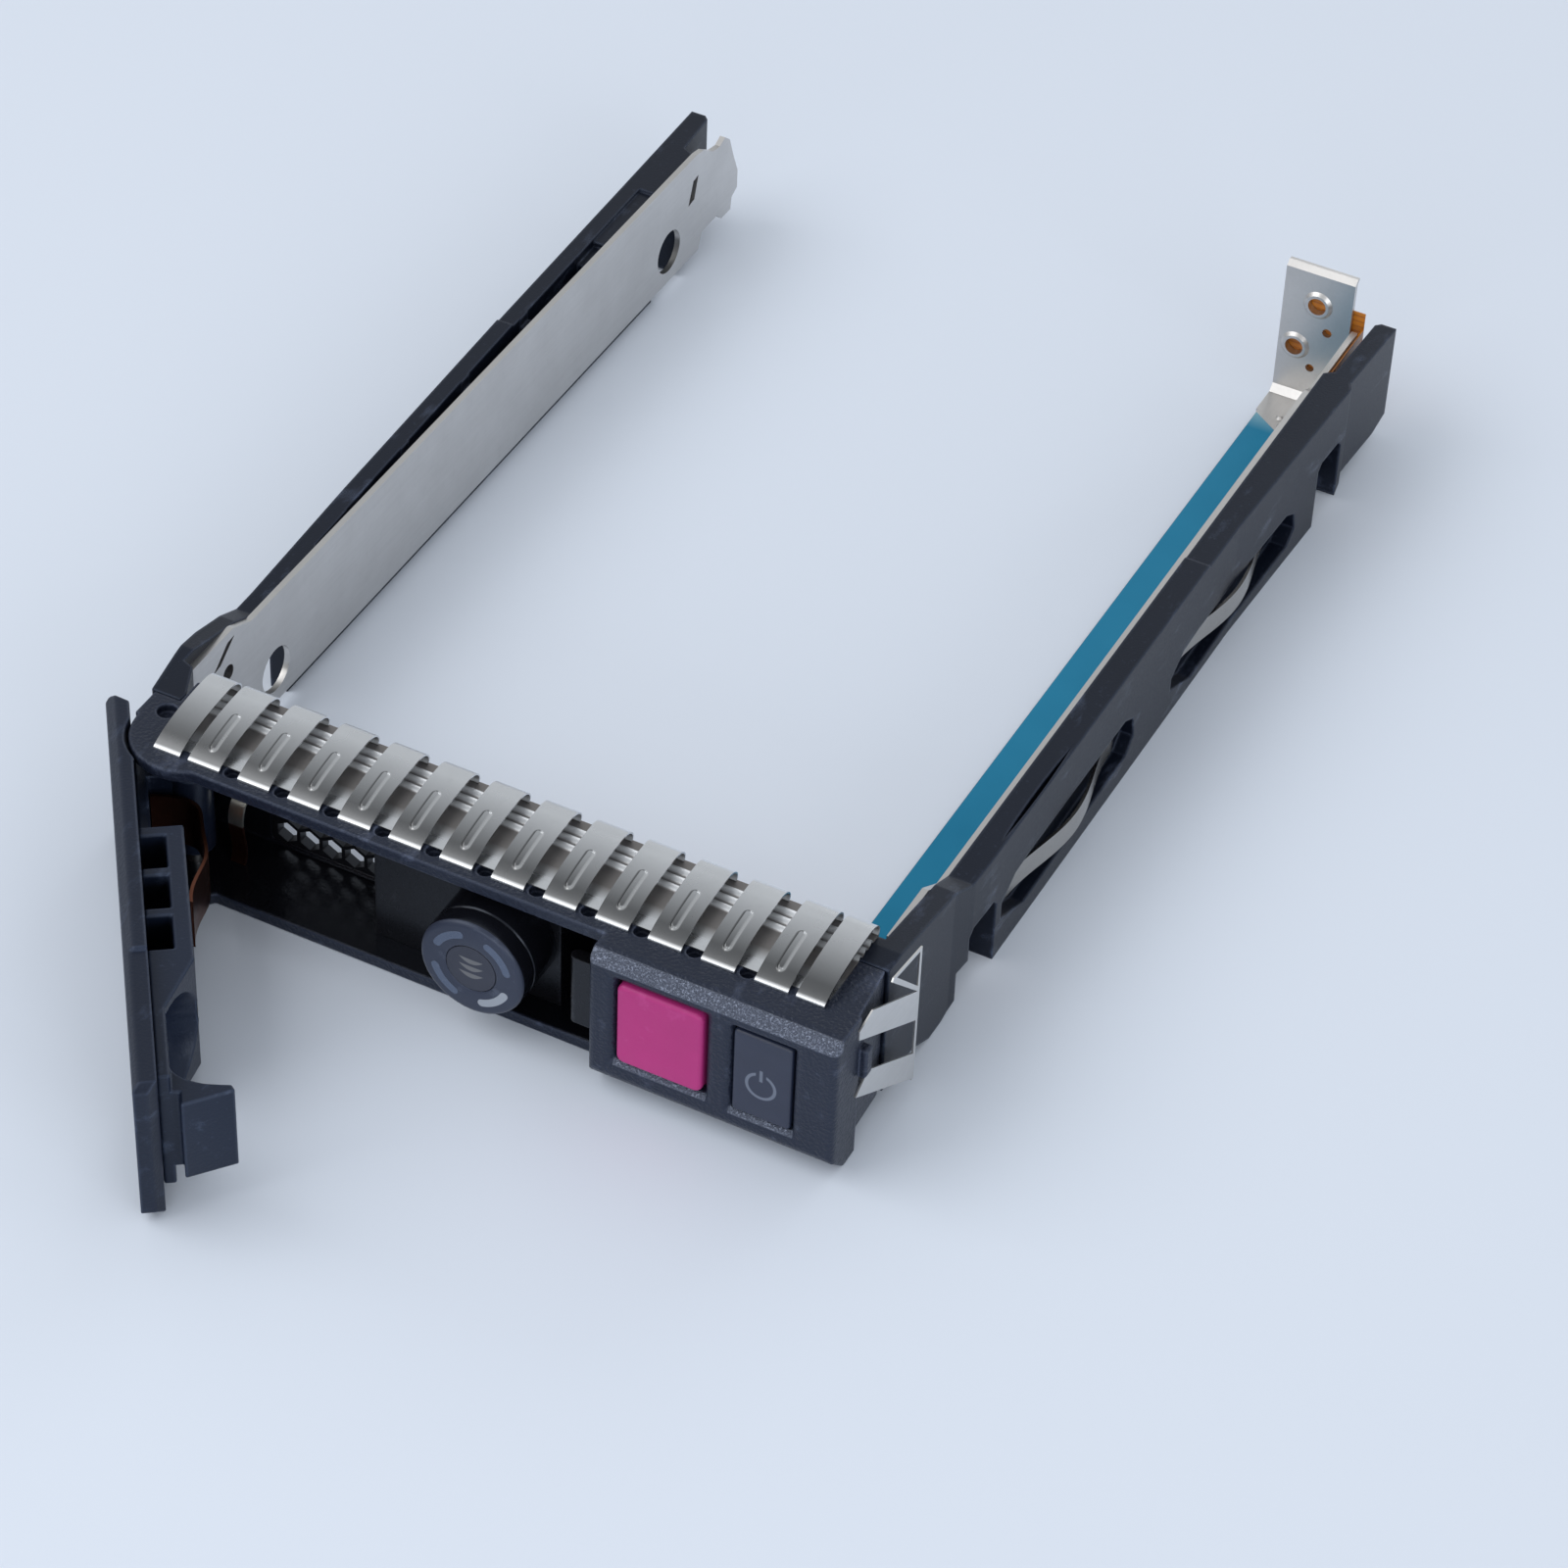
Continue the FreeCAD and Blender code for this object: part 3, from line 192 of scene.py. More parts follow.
def mouldedPlastic(name, base, wornAndHighlight, rough=0.5, texture=0.16 * mm, deep=0.012 * mm, dust=0.25,
                   edge=0.22 * mm, paintedEdgeHighlight=0.16, frostedAndHighlit=(), glossy=(), glossAndHighlightColour=None, pocketShade=None,
                   shine=0.38):
    # satin moulded plastic: fine even grain, cloudy tone, rubbed edges and dust, and every edge lightened by
    # a painted highlight;
    # frosted boxes get coarse pale speckle that is partly a painted highlight, glossy boxes are smooth and
    # take the gloss colour, darker but for the light window, where it is a painted highlight; the pockets get
    # painted shade
    f = Finish(name)
    rounded = f.roundEdges(edge)
    rim = f.edges(rounded)
    cloud = f.noise(9 * mm, 3)
    fine = f.noise(texture, 2)
    rub = f.noise(2.4 * mm, 5, 0.65, (1, 0.35, 1)).above(0.63, 0.05)
    dusty = f.noise(0.6 * mm, 3, 0.7).above(0.66, 0.03)
    tone = f.blend(cloud.above(0.5, 0.25), base, tuple(v * 1.2 for v in base))
    tone = f.blend(rub * 0.16, tone, wornAndHighlight)
    tone = f.blend(dusty * dust * 0.3, tone, wornAndHighlight)
    # edges lightened towards the wear colour: rubbed wear, and a painted highlight on every edge
    tone = f.blend(rim * (paintedEdgeHighlight + rub * 0.5), tone, wornAndHighlight)
    gloss = rough + (fine - 0.5) * 0.18 - rub * 0.08
    relief = fine
    for low, high in frostedAndHighlit:
        zone = f.inside(low, high)
        speck = f.noise(0.17 * mm, 2, 0.6).above(0.5, 0.12)
        # the pale speckle is the frost's texture and partly a painted highlight on these bevels and lips
        tone = f.blend(zone * (speck * 0.5 + 0.2), tone, srgb(150, 158, 178))
        gloss = gloss - zone * 0.06
        relief = relief + zone * speck * 1.2
    for low, high in glossy:
        zone = f.inside(low, high)
        # on the light window this colour is a painted highlight
        tone = f.blend(zone * 0.92, tone, glossAndHighlightColour)
        gloss = gloss - zone * (rough - 0.2)
        relief = relief * (1 - zone * 0.85)
    if pocketShade:
        # the same piece turned shut about its hinge, where the pockets lie square; inside them the colour is
        # painted near black as shade
        q = pocketShade
        turn = math.radians(q["open"])
        dx, dy = f.x - q["hinge"][0] * mm, f.y - q["hinge"][1] * mm
        u = dx * math.cos(turn) - dy * math.sin(turn) + q["hinge"][0] * mm
        v = dx * math.sin(turn) + dy * math.cos(turn) + q["hinge"][1] * mm
        inside = f.z.below(q["top"] * mm, 0.5 * mm) * f.z.above(q["bottom"] * mm, 0.5 * mm)
        for axis, (low, high) in ((u, q["u"]), (v, q["v"])):
            inside = inside * axis.above(low * mm) * axis.below(high * mm)
        # painted shade: the pockets' floors and walls near black
        tone = f.blend(inside * 0.85, tone, srgb(4, 5, 8))
    return f.done(tone, gloss, normal=f.bump(relief, deep, after=rounded),
                  **{"Specular IOR Level": shine, "Specular Tint": (0.75, 0.84, 1, 1)})


# where the fingers' painted shade and highlights change: their foot, the strip behind, and the rims of their
# beads; the strip behind is also rougher
fingerPaintedLightAndGloss = {"footY": 8.6, "footFade": 3.2, "footZ": 16.58, "footPaintedShade": 0.92,
               "stripY": 6.9, "stripFade": 0.8, "stripTop": 17.0, "stripRough": 0.22,
               "valleyZ": 16.42, "valleyPaintedShade": 0.75,
               "rimOut": 0.06, "rimHalf": 0.12, "rimZ": 16.7, "rimEnd": 31.6,
               "rimPaintedShade": 0.8, "rimPaintedHighlight": 0.5}


def paintFingerShadeAndHighlight(f, tone, base):
    # painted shade darkens the arch at its foot and the strip between its ridges; a bead's edge is where the
    # distance from a short line along the finger's middle is near the bead's half width, and it gets painted
    # shade on its left and a painted highlight on its right
    q, shade = fingers, fingerPaintedLightAndGloss
    paintedShadeColour = tuple(v * 0.12 for v in base)
    # painted shade: the arch darkens towards its foot
    footShade = f.y.below(shade["footY"] * mm, shade["footFade"] * mm) * f.z.above(shade["footZ"] * mm)
    # painted shade on the strip low between its ridges, behind the fingers
    valleyShade = f.z.below(shade["valleyZ"] * mm, 0.05 * mm)
    valleyShade = valleyShade * f.y.above(shade["stripY"] * mm, shade["stripFade"] * mm)
    tone = f.blend(footShade * shade["footPaintedShade"], tone, paintedShadeColour)
    tone = f.blend(valleyShade * shade["valleyPaintedShade"], tone, (0.1, 0.075, 0.06))
    turn = f.pen.math("FRACT", (f.x - q["first"] * mm) * (1 / (q["pitch"] * mm)))
    u = turn * (q["pitch"] * mm) - q["width"] / 2 * mm
    v = (f.y.apart(q["beadY"] * mm) - q["beadHalf"] * mm).most(0)
    far = (u * u + v * v) ** 0.5
    rim = far.apart((q["beadWide"] + shade["rimOut"]) * mm).below(shade["rimHalf"] * mm, 0.06 * mm)
    rim = rim * f.z.above(shade["rimZ"] * mm)
    rim = rim * f.x.above(q["first"] * mm) * f.x.below(shade["rimEnd"] * mm)
    # painted shade on each bead's left rim; below, a painted highlight on its right rim
    tone = f.blend(rim * u.below(0, 0.1 * mm) * shade["rimPaintedShade"], tone, paintedShadeColour)
    return f.blend(rim * u.above(0, 0.1 * mm) * shade["rimPaintedHighlight"], tone, (0.78, 0.79, 0.8))


def sheetSteel(name, base, rough=0.3, grain=(1, 0.02, 1), fingered=False):
    # rolled sheet steel: long faint rolling lines, cloudy stains, fine pitting; on the fingers also painted
    # shade and highlights
    f = Finish(name)
    lines = f.noise(0.3 * mm, 2, 0.5, grain)
    cloud = f.noise(6 * mm, 4, 0.55)
    spots = f.noise(0.9 * mm, 3, 0.6).above(0.62, 0.06)
    dark = tuple(v * 0.72 for v in base)
    tone = f.blend(cloud.above(0.52, 0.2) * 0.3, base, dark)
    tone = f.blend(lines.above(0.5, 0.3) * (0.04 if fingered else 0.2), tone, dark)
    tone = f.blend(spots * 0.12, tone, dark)
    gloss = rough + (cloud - 0.5) * 0.1
    if fingered:
        # painted shade and highlights on the fingers and the strip
        tone = paintFingerShadeAndHighlight(f, tone, base)
        shade = fingerPaintedLightAndGloss
        behind = f.y.above(shade["stripY"] * mm, shade["stripFade"] * mm)
        gloss = gloss + f.z.below(shade["stripTop"] * mm, 0.05 * mm) * behind * shade["stripRough"]
    else:
        gloss = gloss + (lines - 0.5) * 0.05
    return f.done(tone, gloss, 1.0, f.bump(cloud if fingered else lines, 0.0006 * mm))


tracks = {"pitch": 0.62, "wide": 0.17, "soft": 0.04, "padStep": 2.6, "padWide": 0.13}


def flexFinish():
    # amber film with fine level copper tracks under it, and small plated pads here and there
    q = tracks
    f = Finish("amber flex")
    lines = f.pen.math("FRACT", f.z * (1 / (q["pitch"] * mm))).apart(0.5).below(q["wide"], q["soft"])
    cloud = f.noise(5 * mm, 3)
    tone = f.blend(cloud.above(0.5, 0.3), srgb(178, 102, 18), srgb(200, 124, 30))
    tone = f.blend(lines * 0.5, tone, srgb(138, 70, 16))
    pads = f.grains(q["padStep"] * mm).below(q["padWide"], 0.02) * lines
    tone = f.blend(pads * 0.7, tone, srgb(222, 190, 120))
    return f.done(tone, 0.3 + cloud * 0.06, normal=f.bump(lines, 0.012 * mm))


springHighlight = {"share": 0.62, "soft": 0.1}


def cavitySpringFinish():
    # copper strip, painted pale above a share of its height as a highlight
    f = Finish("copper spring with painted highlight")
    low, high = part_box("cavity_spring")
    highlitTop = f.z.above(low[2] + (high[2] - low[2]) * springHighlight["share"], springHighlight["soft"] * mm)
    cloud = f.noise(1.6 * mm, 4, 0.6)
    tone = f.blend(cloud.above(0.55, 0.1) * 0.4, srgb(140, 88, 70), srgb(92, 54, 44))
    # painted highlight over the top share of the spring
    tone = f.blend(highlitTop, tone, srgb(225, 222, 212))
    return f.done(tone, 0.32 + (cloud - 0.5) * 0.2, 1.0, f.bump(cloud, 0.01 * mm))


def markedPlastic(name, base, mark, shape, rough):
    # smooth plastic with a sign printed on it; shape gives the sign's mask from the finish's coordinates
    f = Finish(name)
    fine = f.noise(0.14 * mm, 2)
    cloud = f.noise(3 * mm, 3)
    tone = f.blend(cloud.above(0.5, 0.25), base, tuple(v * 1.18 for v in base))
    tone = f.blend(shape(f) * 0.85, tone, mark)
    normal = f.bump(fine, 0.006 * mm, after=f.roundEdges(0.12 * mm))
    return f.done(tone, rough + (fine - 0.5) * 0.12, normal=normal)


power = {"centre": (31.15, 8.2), "radius": 1.35, "half": 0.15, "gap": 0.5, "low": 0.55, "high": 1.85,
         "soft": 0.03}


def powerSign(f):
    # a ring open at the top with an upright stroke in the gap: distance from the centre against a radius
    q = power
    soft, half = q["soft"] * mm, q["half"] * mm
    u, v = f.x - q["centre"][0] * mm, f.z - q["centre"][1] * mm
    far = (u * u + v * v) ** 0.5
    ring = far.apart(q["radius"] * mm).below(half, soft)
    gap = u.apart(0.0).below(q["gap"] * mm, soft) * v.above(0)
    stroke = u.apart(0.0).below(half, soft) * v.above(q["low"] * mm, soft) * v.below(q["high"] * mm, soft)
    return (ring * (1 - gap)).most(stroke)


stack = {"centre": (2.6, 8.1), "half": 1.2, "thick": 0.26, "bow": 0.3, "step": 0.82, "soft": 0.03}


def stackSign(f):
    # three short strokes, one above the other, each a lens: its half height and its bow fall off with the
    # square of the distance from the middle
    q = stack
    u, v = f.x - q["centre"][0] * mm, f.z - q["centre"][1] * mm
    side = u * u * (1 / (q["half"] * mm) ** 2)
    mask = 0.0
    for k in (-1, 0, 1):
        thick = (1 - side) * q["thick"] * mm
        mask = (thick - (v - side * q["bow"] * mm).apart(k * q["step"] * mm)).above(0, q["soft"] * mm) + mask
    return mask


fading = {"y": 114.0, "soft": 1.5}


def filmFinish():
    # blue film over bright steel, fading to a pale clear end at the rear
    f = Finish("blue film")
    cloud = f.noise(12 * mm, 3)
    fade = f.y.above(fading["y"] * mm, fading["soft"] * mm)
    tone = f.blend(cloud.above(0.5, 0.3), srgb(28, 116, 152), srgb(40, 130, 166))
    tone = f.blend(fade * 0.75, tone, srgb(150, 190, 200))
    return f.done(tone, 0.4 + (cloud - 0.5) * 0.1, normal=f.bump(f.noise(4 * mm, 2), 0.03 * mm),
                  **{"Specular IOR Level": 0.2, "Specular Tint": (0.3, 0.7, 1, 1)})


# the fingers' measures, which their painted shade and highlights and their shape share: first and pitch place
# the beaded ones
fingers = {"first": -27.85, "pitch": 5.11, "count": 12, "width": 3.2,
           "endWidth": 2.7, "leftEnd": -31.4, "rightEnd": 32.3,
           "crestY": 12.25, "crestZ": 18.02, "tipY": 3.78, "tipZ": 16.5, "thick": 0.15,
           "rows": 80, "cols": 48, "startTurn": 22, "curlTurn": 118, "curlDeep": 1.8, "curlHigh": 1.15,
           "lip": ((0.07, 0.27), (0.06, 0.14), (0.04, 0.04)),
           "beadHalf": 1.85, "beadY": 7.35, "beadHigh": 0.2, "beadWide": 0.3, "beadEdge": 0.18}

# zones of the mouldings: frosted ones, partly a painted highlight; glossy ones, the light window's a painted
# highlight; and the lever's pockets, painted dark as shade, as they lie when it is shut
cavity = (None, 3.0, 1.25), (14.4, None, 14.95)
topBevel = (14.3, None, 15.0), (None, 1.16, None)
buttonLip = (16.9, None, 3.9), (25.9, 0.55, 4.5)
statusLip = (28.1, None, 3.6), (34.3, 0.55, 4.2)
barrel = (None, 0.95, None), (None, None, None)
arcPaintedHighlight = (2.6, None, None), (None, None, 8.1)
leverPocketShade = {"hinge": (-29.9, 7.1), "open": 54.2, "u": (-18.65, -4.25), "v": (2.15, 4.3),
                "top": 13.6, "bottom": 2.6}

plastics = {
    "rail": dict(name="rail plastic", base=srgb(14, 19, 31), wornAndHighlight=srgb(100, 112, 138), rough=0.34,
                 edge=0.4 * mm, paintedEdgeHighlight=0.26, shine=0.27),
    "lever": dict(name="lever plastic", base=srgb(17, 23, 38), wornAndHighlight=srgb(92, 106, 136), rough=0.34,
                  texture=0.3 * mm, deep=0.03 * mm, dust=0.1, edge=0.35 * mm, paintedEdgeHighlight=0.42),
    "frame": dict(name="lever frame plastic", base=srgb(21, 28, 44), wornAndHighlight=srgb(112, 128, 160), rough=0.34,
                  texture=0.3 * mm, deep=0.02 * mm, edge=0.3 * mm, paintedEdgeHighlight=0.42, pocketShade=leverPocketShade),
    "mesh": dict(name="vent mesh plastic", base=srgb(16, 16, 19), wornAndHighlight=srgb(66, 68, 76), rough=0.4,
                 deep=0.003 * mm, edge=0.05 * mm, paintedEdgeHighlight=0.3),
    "inner": dict(name="inner plastic", base=srgb(13, 13, 16), wornAndHighlight=srgb(60, 62, 70), rough=0.3,
                  deep=0.003 * mm),
    "bezel": dict(name="bezel plastic", base=srgb(26, 31, 45), wornAndHighlight=srgb(108, 118, 144), rough=0.36,
                  texture=0.36 * mm, deep=0.13 * mm, edge=0.35 * mm, paintedEdgeHighlight=0.4,
                  frostedAndHighlit=[topBevel, buttonLip, statusLip], glossy=[cavity], glossAndHighlightColour=srgb(12, 12, 15)),
    "magenta": dict(name="button magenta", base=srgb(164, 44, 110), wornAndHighlight=srgb(200, 90, 155), rough=0.4,
                    dust=0.1, edge=0.1 * mm),
    "ring": dict(name="ring plastic", base=srgb(46, 51, 66), wornAndHighlight=srgb(120, 128, 146), rough=0.32,
                 deep=0.004 * mm, edge=0.1 * mm, glossy=[barrel], glossAndHighlightColour=srgb(10, 10, 13)),
    # the light window's lower right arc is painted pale as a highlight
    "arc": dict(name="light window", base=srgb(76, 86, 106), wornAndHighlight=srgb(150, 158, 172), rough=0.25,
                edge=0.05 * mm, glossy=[arcPaintedHighlight], glossAndHighlightColour=srgb(150, 156, 166)),
    "board": dict(name="board green", base=srgb(20, 80, 45), wornAndHighlight=srgb(80, 120, 90), rough=0.3),
}
steels = {
    "bright": dict(name="bright strip steel", base=(0.78, 0.77, 0.755), rough=0.3, grain=(1, 0.05, 1)),
    "fingered": dict(name="finger strip steel", base=(0.765, 0.785, 0.81), rough=0.27, grain=(1, 0.05, 1),
                     fingered=True),
    "satin": dict(name="satin sheet steel", base=(0.62, 0.61, 0.6), rough=0.36, grain=(1, 0.04, 1)),
    "spring": dict(name="spring steel", base=(0.5, 0.48, 0.455), rough=0.25),
    "copper": dict(name="copper spring", base=srgb(122, 78, 62), rough=0.3),
}
finishes = {key: mouldedPlastic(**q) for key, q in plastics.items()}
finishes.update({key: sheetSteel(**q) for key, q in steels.items()})
finishes["flex"] = flexFinish()
finishes["highlitTop"] = cavitySpringFinish()
finishes["lens"] = markedPlastic("status window", srgb(34, 41, 60), srgb(104, 112, 128), powerSign, 0.36)
finishes["cap"] = markedPlastic("ring centre", srgb(40, 44, 58), srgb(104, 106, 110), stackSign, 0.32)
finishes["film"] = filmFinish()

# which nodes wear which finish
wearing = {
    "bezel": ["bezel_housing"],
    "rail": ["left_rail", "right_rail"],
    "lever": ["lever_cover"],
    "frame": ["lever_frame"],
    "inner": ["ring_housing", "latch_catch"],
    "mesh": ["vent_mesh"],
    "magenta": ["release_button"],
    "ring": ["ring_body"],
    "cap": ["ring_cap"],
    "arc": ["ring_light_windows"],
    "lens": ["status_window"],
    "bright": ["side_finger_strip", "hinge_pin"],
    "fingered": ["top_finger_strip"],
    "satin": ["left_side_plate", "right_side_plate"],
    "spring": ["latch_spring", "left_front_leaf_spring", "left_rear_leaf_spring",
               "right_front_leaf_spring", "right_rear_leaf_spring"],
    "copper": ["lever_spring"],
    "highlitTop": ["cavity_spring"],
    "film": ["insulator_film"],
    "flex": ["flex_circuit"],
    "board": ["led_board"],
}
for key, nodeNames in wearing.items():
    for nodeName in nodeNames:
        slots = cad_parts[nodeName].data.materials
        slots.clear()
        slots.append(finishes[key])
print("finishes on")


def addPiece(name, points, faces, finish, body, nodeNames):
    # puts worked-out points and faces into a mesh, smooth but for its sharp corners, riding on a body when
    # one is named, otherwise fixed where it stands
    mesh = bpy.data.meshes.new(name)
    mesh.from_pydata(np.reshape(points, (-1, 3)).tolist(), [], faces)
    build = bmesh.new()
    build.from_mesh(mesh)
    bmesh.ops.recalc_face_normals(build, faces=build.faces)
    build.to_mesh(mesh)
    build.free()
    mesh.shade_smooth()
    mesh.set_sharp_from_angle(angle=math.radians(38))
    mesh.materials.append(finishes[finish])
    piece = bpy.data.objects.new(name, mesh)
    bpy.context.scene.collection.objects.link(piece)
    if isinstance(body, str):
        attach(piece, body)
    else:
        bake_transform(piece)
    if nodeNames:
        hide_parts(*nodeNames)
    return piece


# merge joins near points; a turn under flatTurn counts as flat and one over sharpTurn is rounded, by no more
# than a share of the shortest edge it meets and not at all under least; the corner values tell which edges
# are the upright corners, and the sliver values which of their short edges close up
rounding = {"merge": 0.002, "flatTurn": 0.6, "sharpTurn": 30, "share": 0.4, "least": 0.04, "segments": 3,
            "cornerWidth": 0.6, "cornerX": 14.3, "cornerY": 1.2, "cornerLong": 2,
            "sliverLong": 0.01, "sliverX": 0.05, "sliverY": 1.5}


def softenedCopy(node, width, finish, body, slot, corners=()):
    # a merged copy of a part with its flat faces joined; every sharp edge gets a bevel weight that suits the
    # shortest edge it meets, and a bevel modifier rounds them; corners are upright edges squared up first
    # and rounded fully, each given as x, the reach of x that belongs to it, and how far back it runs
    q = rounding
    mesh = bpy.data.meshes.new(node + "_soft")
    build = bmesh.new()
    build.from_mesh(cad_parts[node].data)
    bmesh.ops.remove_doubles(build, verts=build.verts, dist=q["merge"] * mm)
    for corner, reach, depth in corners:
        for v in [v for v in build.verts if abs(v.co.x - corner * mm) < reach * mm and v.co.y < depth * mm]:
            v.co.x = corner * mm
    bmesh.ops.remove_doubles(build, verts=build.verts, dist=q["merge"] * mm)
    slivers = [e for e in build.edges for corner, reach, depth in corners
               if all(abs(v.co.x - corner * mm) < q["sliverX"] * mm and v.co.y < q["sliverY"] * mm
                      for v in e.verts)]
    bmesh.ops.dissolve_degenerate(build, edges=slivers, dist=q["sliverLong"] * mm)
    flat = math.radians(q["flatTurn"])
    bmesh.ops.dissolve_limit(build, angle_limit=flat, verts=build.verts, edges=build.edges)
    weight = build.edges.layers.float.new("bevel_weight_edge")
    turn = math.radians(q["sharpTurn"])
    sharp = [e for e in build.edges if len(e.link_faces) == 2 and e.calc_face_angle(0) > turn]
    shortest = {}
    for e in sharp:
        for v in e.verts:
            shortest[v] = min(shortest.get(v, 1), e.calc_length())
    widest = q["cornerWidth"] * mm if corners else width
    for e in sharp:
        upright = all(v.co.y < q["cornerY"] * mm and v.co.x > q["cornerX"] * mm for v in e.verts)
        fully = corners and upright and e.calc_length() > q["cornerLong"] * mm
        want = min(widest if fully else width, q["share"] * min(shortest[v] for v in e.verts))
        e[weight] = want / widest if want > q["least"] * mm else 0
    build.to_mesh(mesh)
    build.free()
    mesh.materials.append(finishes[finish])
    piece = bpy.data.objects.new(node + "_soft", mesh)
    bpy.context.scene.collection.objects.link(piece)
    bevel = piece.modifiers.new("rounded edges", "BEVEL")
    bevel.limit_method = "WEIGHT"
    bevel.width = widest
    bevel.segments = q["segments"]
    bevel.use_clamp_overlap = False
    bevel.harden_normals = True
    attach(piece, body)
    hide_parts(node)
    return piece


# for each copy: how wide its rounding is, its finish, body and slot, and the block's two upright corners
softened = {"bezel_housing": (0.25, "bezel", "carrier", "bezel_plastic",
                              ((38.2, 0.35, 0.7), (14.4, 0.35, 0.7))),
            "lever_cover": (0.22, "lever", "lever", "lever_plastic"),
            "lever_frame": (0.22, "frame", "lever", "lever_plastic")}
for node, (width, *rest) in softened.items():
    softenedCopy(node, width * mm, *rest)


vent = {"middle": 12.85, "scale": 2.0}


def deepMesh():
    # the vent's honeycomb drawn out in depth, so its cell walls shade the holes: each point's distance
    # from the middle plane is multiplied by the scale
    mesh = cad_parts["vent_mesh"].data.copy()
    place = np.empty(len(mesh.vertices) * 3)
    mesh.vertices.foreach_get("co", place)
    middle = vent["middle"] * mm
    place[1::3] = middle + (place[1::3] - middle) * vent["scale"]
    mesh.vertices.foreach_set("co", place)
    mesh.name = "vent_honeycomb"
    build = bmesh.new()
    build.from_mesh(mesh)
    bmesh.ops.remove_doubles(build, verts=build.verts, dist=0.002 * mm)
    build.to_mesh(mesh)
    build.free()
    mesh.materials.clear()
    mesh.materials.append(finishes["mesh"])
    piece = bpy.data.objects.new("vent_honeycomb", mesh)
    bpy.context.scene.collection.objects.link(piece)
    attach(piece, "carrier")
    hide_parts("vent_mesh")


deepMesh()
print("edges rounded")


def thickSheets(grids, thick):
    # each grid of points is a sheet's outer face; the inner face lies a thickness behind it,
    # square to the sheet, and quads round the border close the rim
    points, faces, base = [], [], 0
    for grid in grids:
        rows, cols = grid.shape[:2]
        normal = np.cross(np.gradient(grid, axis=0), np.gradient(grid, axis=1))
        normal /= np.linalg.norm(normal, axis=2, keepdims=True)
        count = rows * cols
        points += [grid.reshape(-1, 3), (grid - normal * thick).reshape(-1, 3)]
        index = np.arange(count).reshape(rows, cols) + base
        a, b, c, d = index[:-1, :-1], index[1:, :-1], index[1:, 1:], index[:-1, 1:]
        outer = np.stack([a, b, c, d], -1).reshape(-1, 4)
        rim = np.concatenate([index[:-1, 0], index[-1, :-1], index[:0:-1, -1], index[0, :0:-1]])
        after = np.roll(rim, -1)
        faces += outer.tolist() + (outer[:, ::-1] + count).tolist()
        faces += np.stack([after, rim, rim + count, after + count], -1).tolist()
        base += 2 * count
    return np.concatenate(points), faces


def loftRings(rings):
    # closed rings of equal length joined one to the next by quads, with one flat face closing each end
    rings = np.array(rings)
    count, size = rings.shape[:2]
    index = np.arange(count * size).reshape(count, size)
    after = np.roll(index, -1, 1)
    walls = np.stack([index[:-1], after[:-1], after[1:], index[1:]], -1).reshape(-1, 4)
    return rings.reshape(-1, 3), walls.tolist() + [index[0, ::-1].tolist(), index[-1].tolist()]


def roundedRing(halfWide, halfHigh, corner, y, centre, steps=8):
    # a rectangle with round corners: each corner is a quarter circle about a point set in from it
    turn = np.linspace(0, np.pi / 2, steps)
    across, up = [], []
    for k, (su, sv) in enumerate(((1, 1), (-1, 1), (-1, -1), (1, -1))):
        angle = turn + k * np.pi / 2
        across.append(su * (halfWide - corner) + corner * np.cos(angle))
        up.append(sv * (halfHigh - corner) + corner * np.sin(angle))
    across, up = np.concatenate(across), np.concatenate(up)
    return np.stack([centre[0] + across, np.full_like(across, y), centre[1] + up], -1) * mm


def fingerGrid(left, width, beaded):
    # across the width the finger is level; along it the front is part of an ellipse that rises from the tip
    # to the crest, and the back a smaller ellipse that curls down behind; the bead is a smooth step in the
    # distance from a short line along the finger's middle
    q = fingers
    start, rows = math.radians(q["startTurn"]), q["rows"]
    wide = (q["crestY"] - q["tipY"]) / math.cos(start)
    high = (q["crestZ"] - q["tipZ"]) / (1 - math.sin(start))
    front = np.linspace(start, np.pi / 2, rows * 3 // 4)
    back = np.linspace(0, math.radians(q["curlTurn"]), rows // 4)[1:]
    y = np.concatenate([q["crestY"] - wide * np.cos(front), q["crestY"] + q["curlDeep"] * np.sin(back)])
    rising = q["crestZ"] - high * (1 - np.sin(front))
    z = np.concatenate([rising, q["crestZ"] - q["curlHigh"] * (1 - np.cos(back))])
    lip = np.array(q["lip"])
    y, z = np.concatenate([q["tipY"] - lip[:, 0], y]), np.concatenate([q["tipZ"] - lip[:, 1], z])
    x = left + width * np.linspace(0, 1, q["cols"])
    grid = np.stack(np.broadcast_arrays(x[None, :], y[:, None], z[:, None]), -1).copy()
    if beaded:
        along = np.clip(np.abs(grid[..., 1] - q["beadY"]) - q["beadHalf"], 0, None)
        far = np.hypot(along, grid[..., 0] - left - width / 2)
        step = np.clip((q["beadWide"] + q["beadEdge"] / 2 - far) / q["beadEdge"], 0, 1)
        grid[..., 2] += q["beadHigh"] * step * step * (3 - 2 * step)
    return grid[::-1] * mm


strip = {"left": -31.4, "right": 35.0, "front": 4.75, "flat": 9.8, "back": 13.9, "level": 16.36, "cols": 40,
         "ridges": 3, "ridgeY": 10.4, "ridgeStep": 1.05, "ridgeWide": 0.26, "ridgeHigh": 0.46,
         "skirtLeft": -30.8, "skirtRight": 31.6, "skirtY": 14.0, "skirtLow": 14.05, "skirtHigh": 16.34}


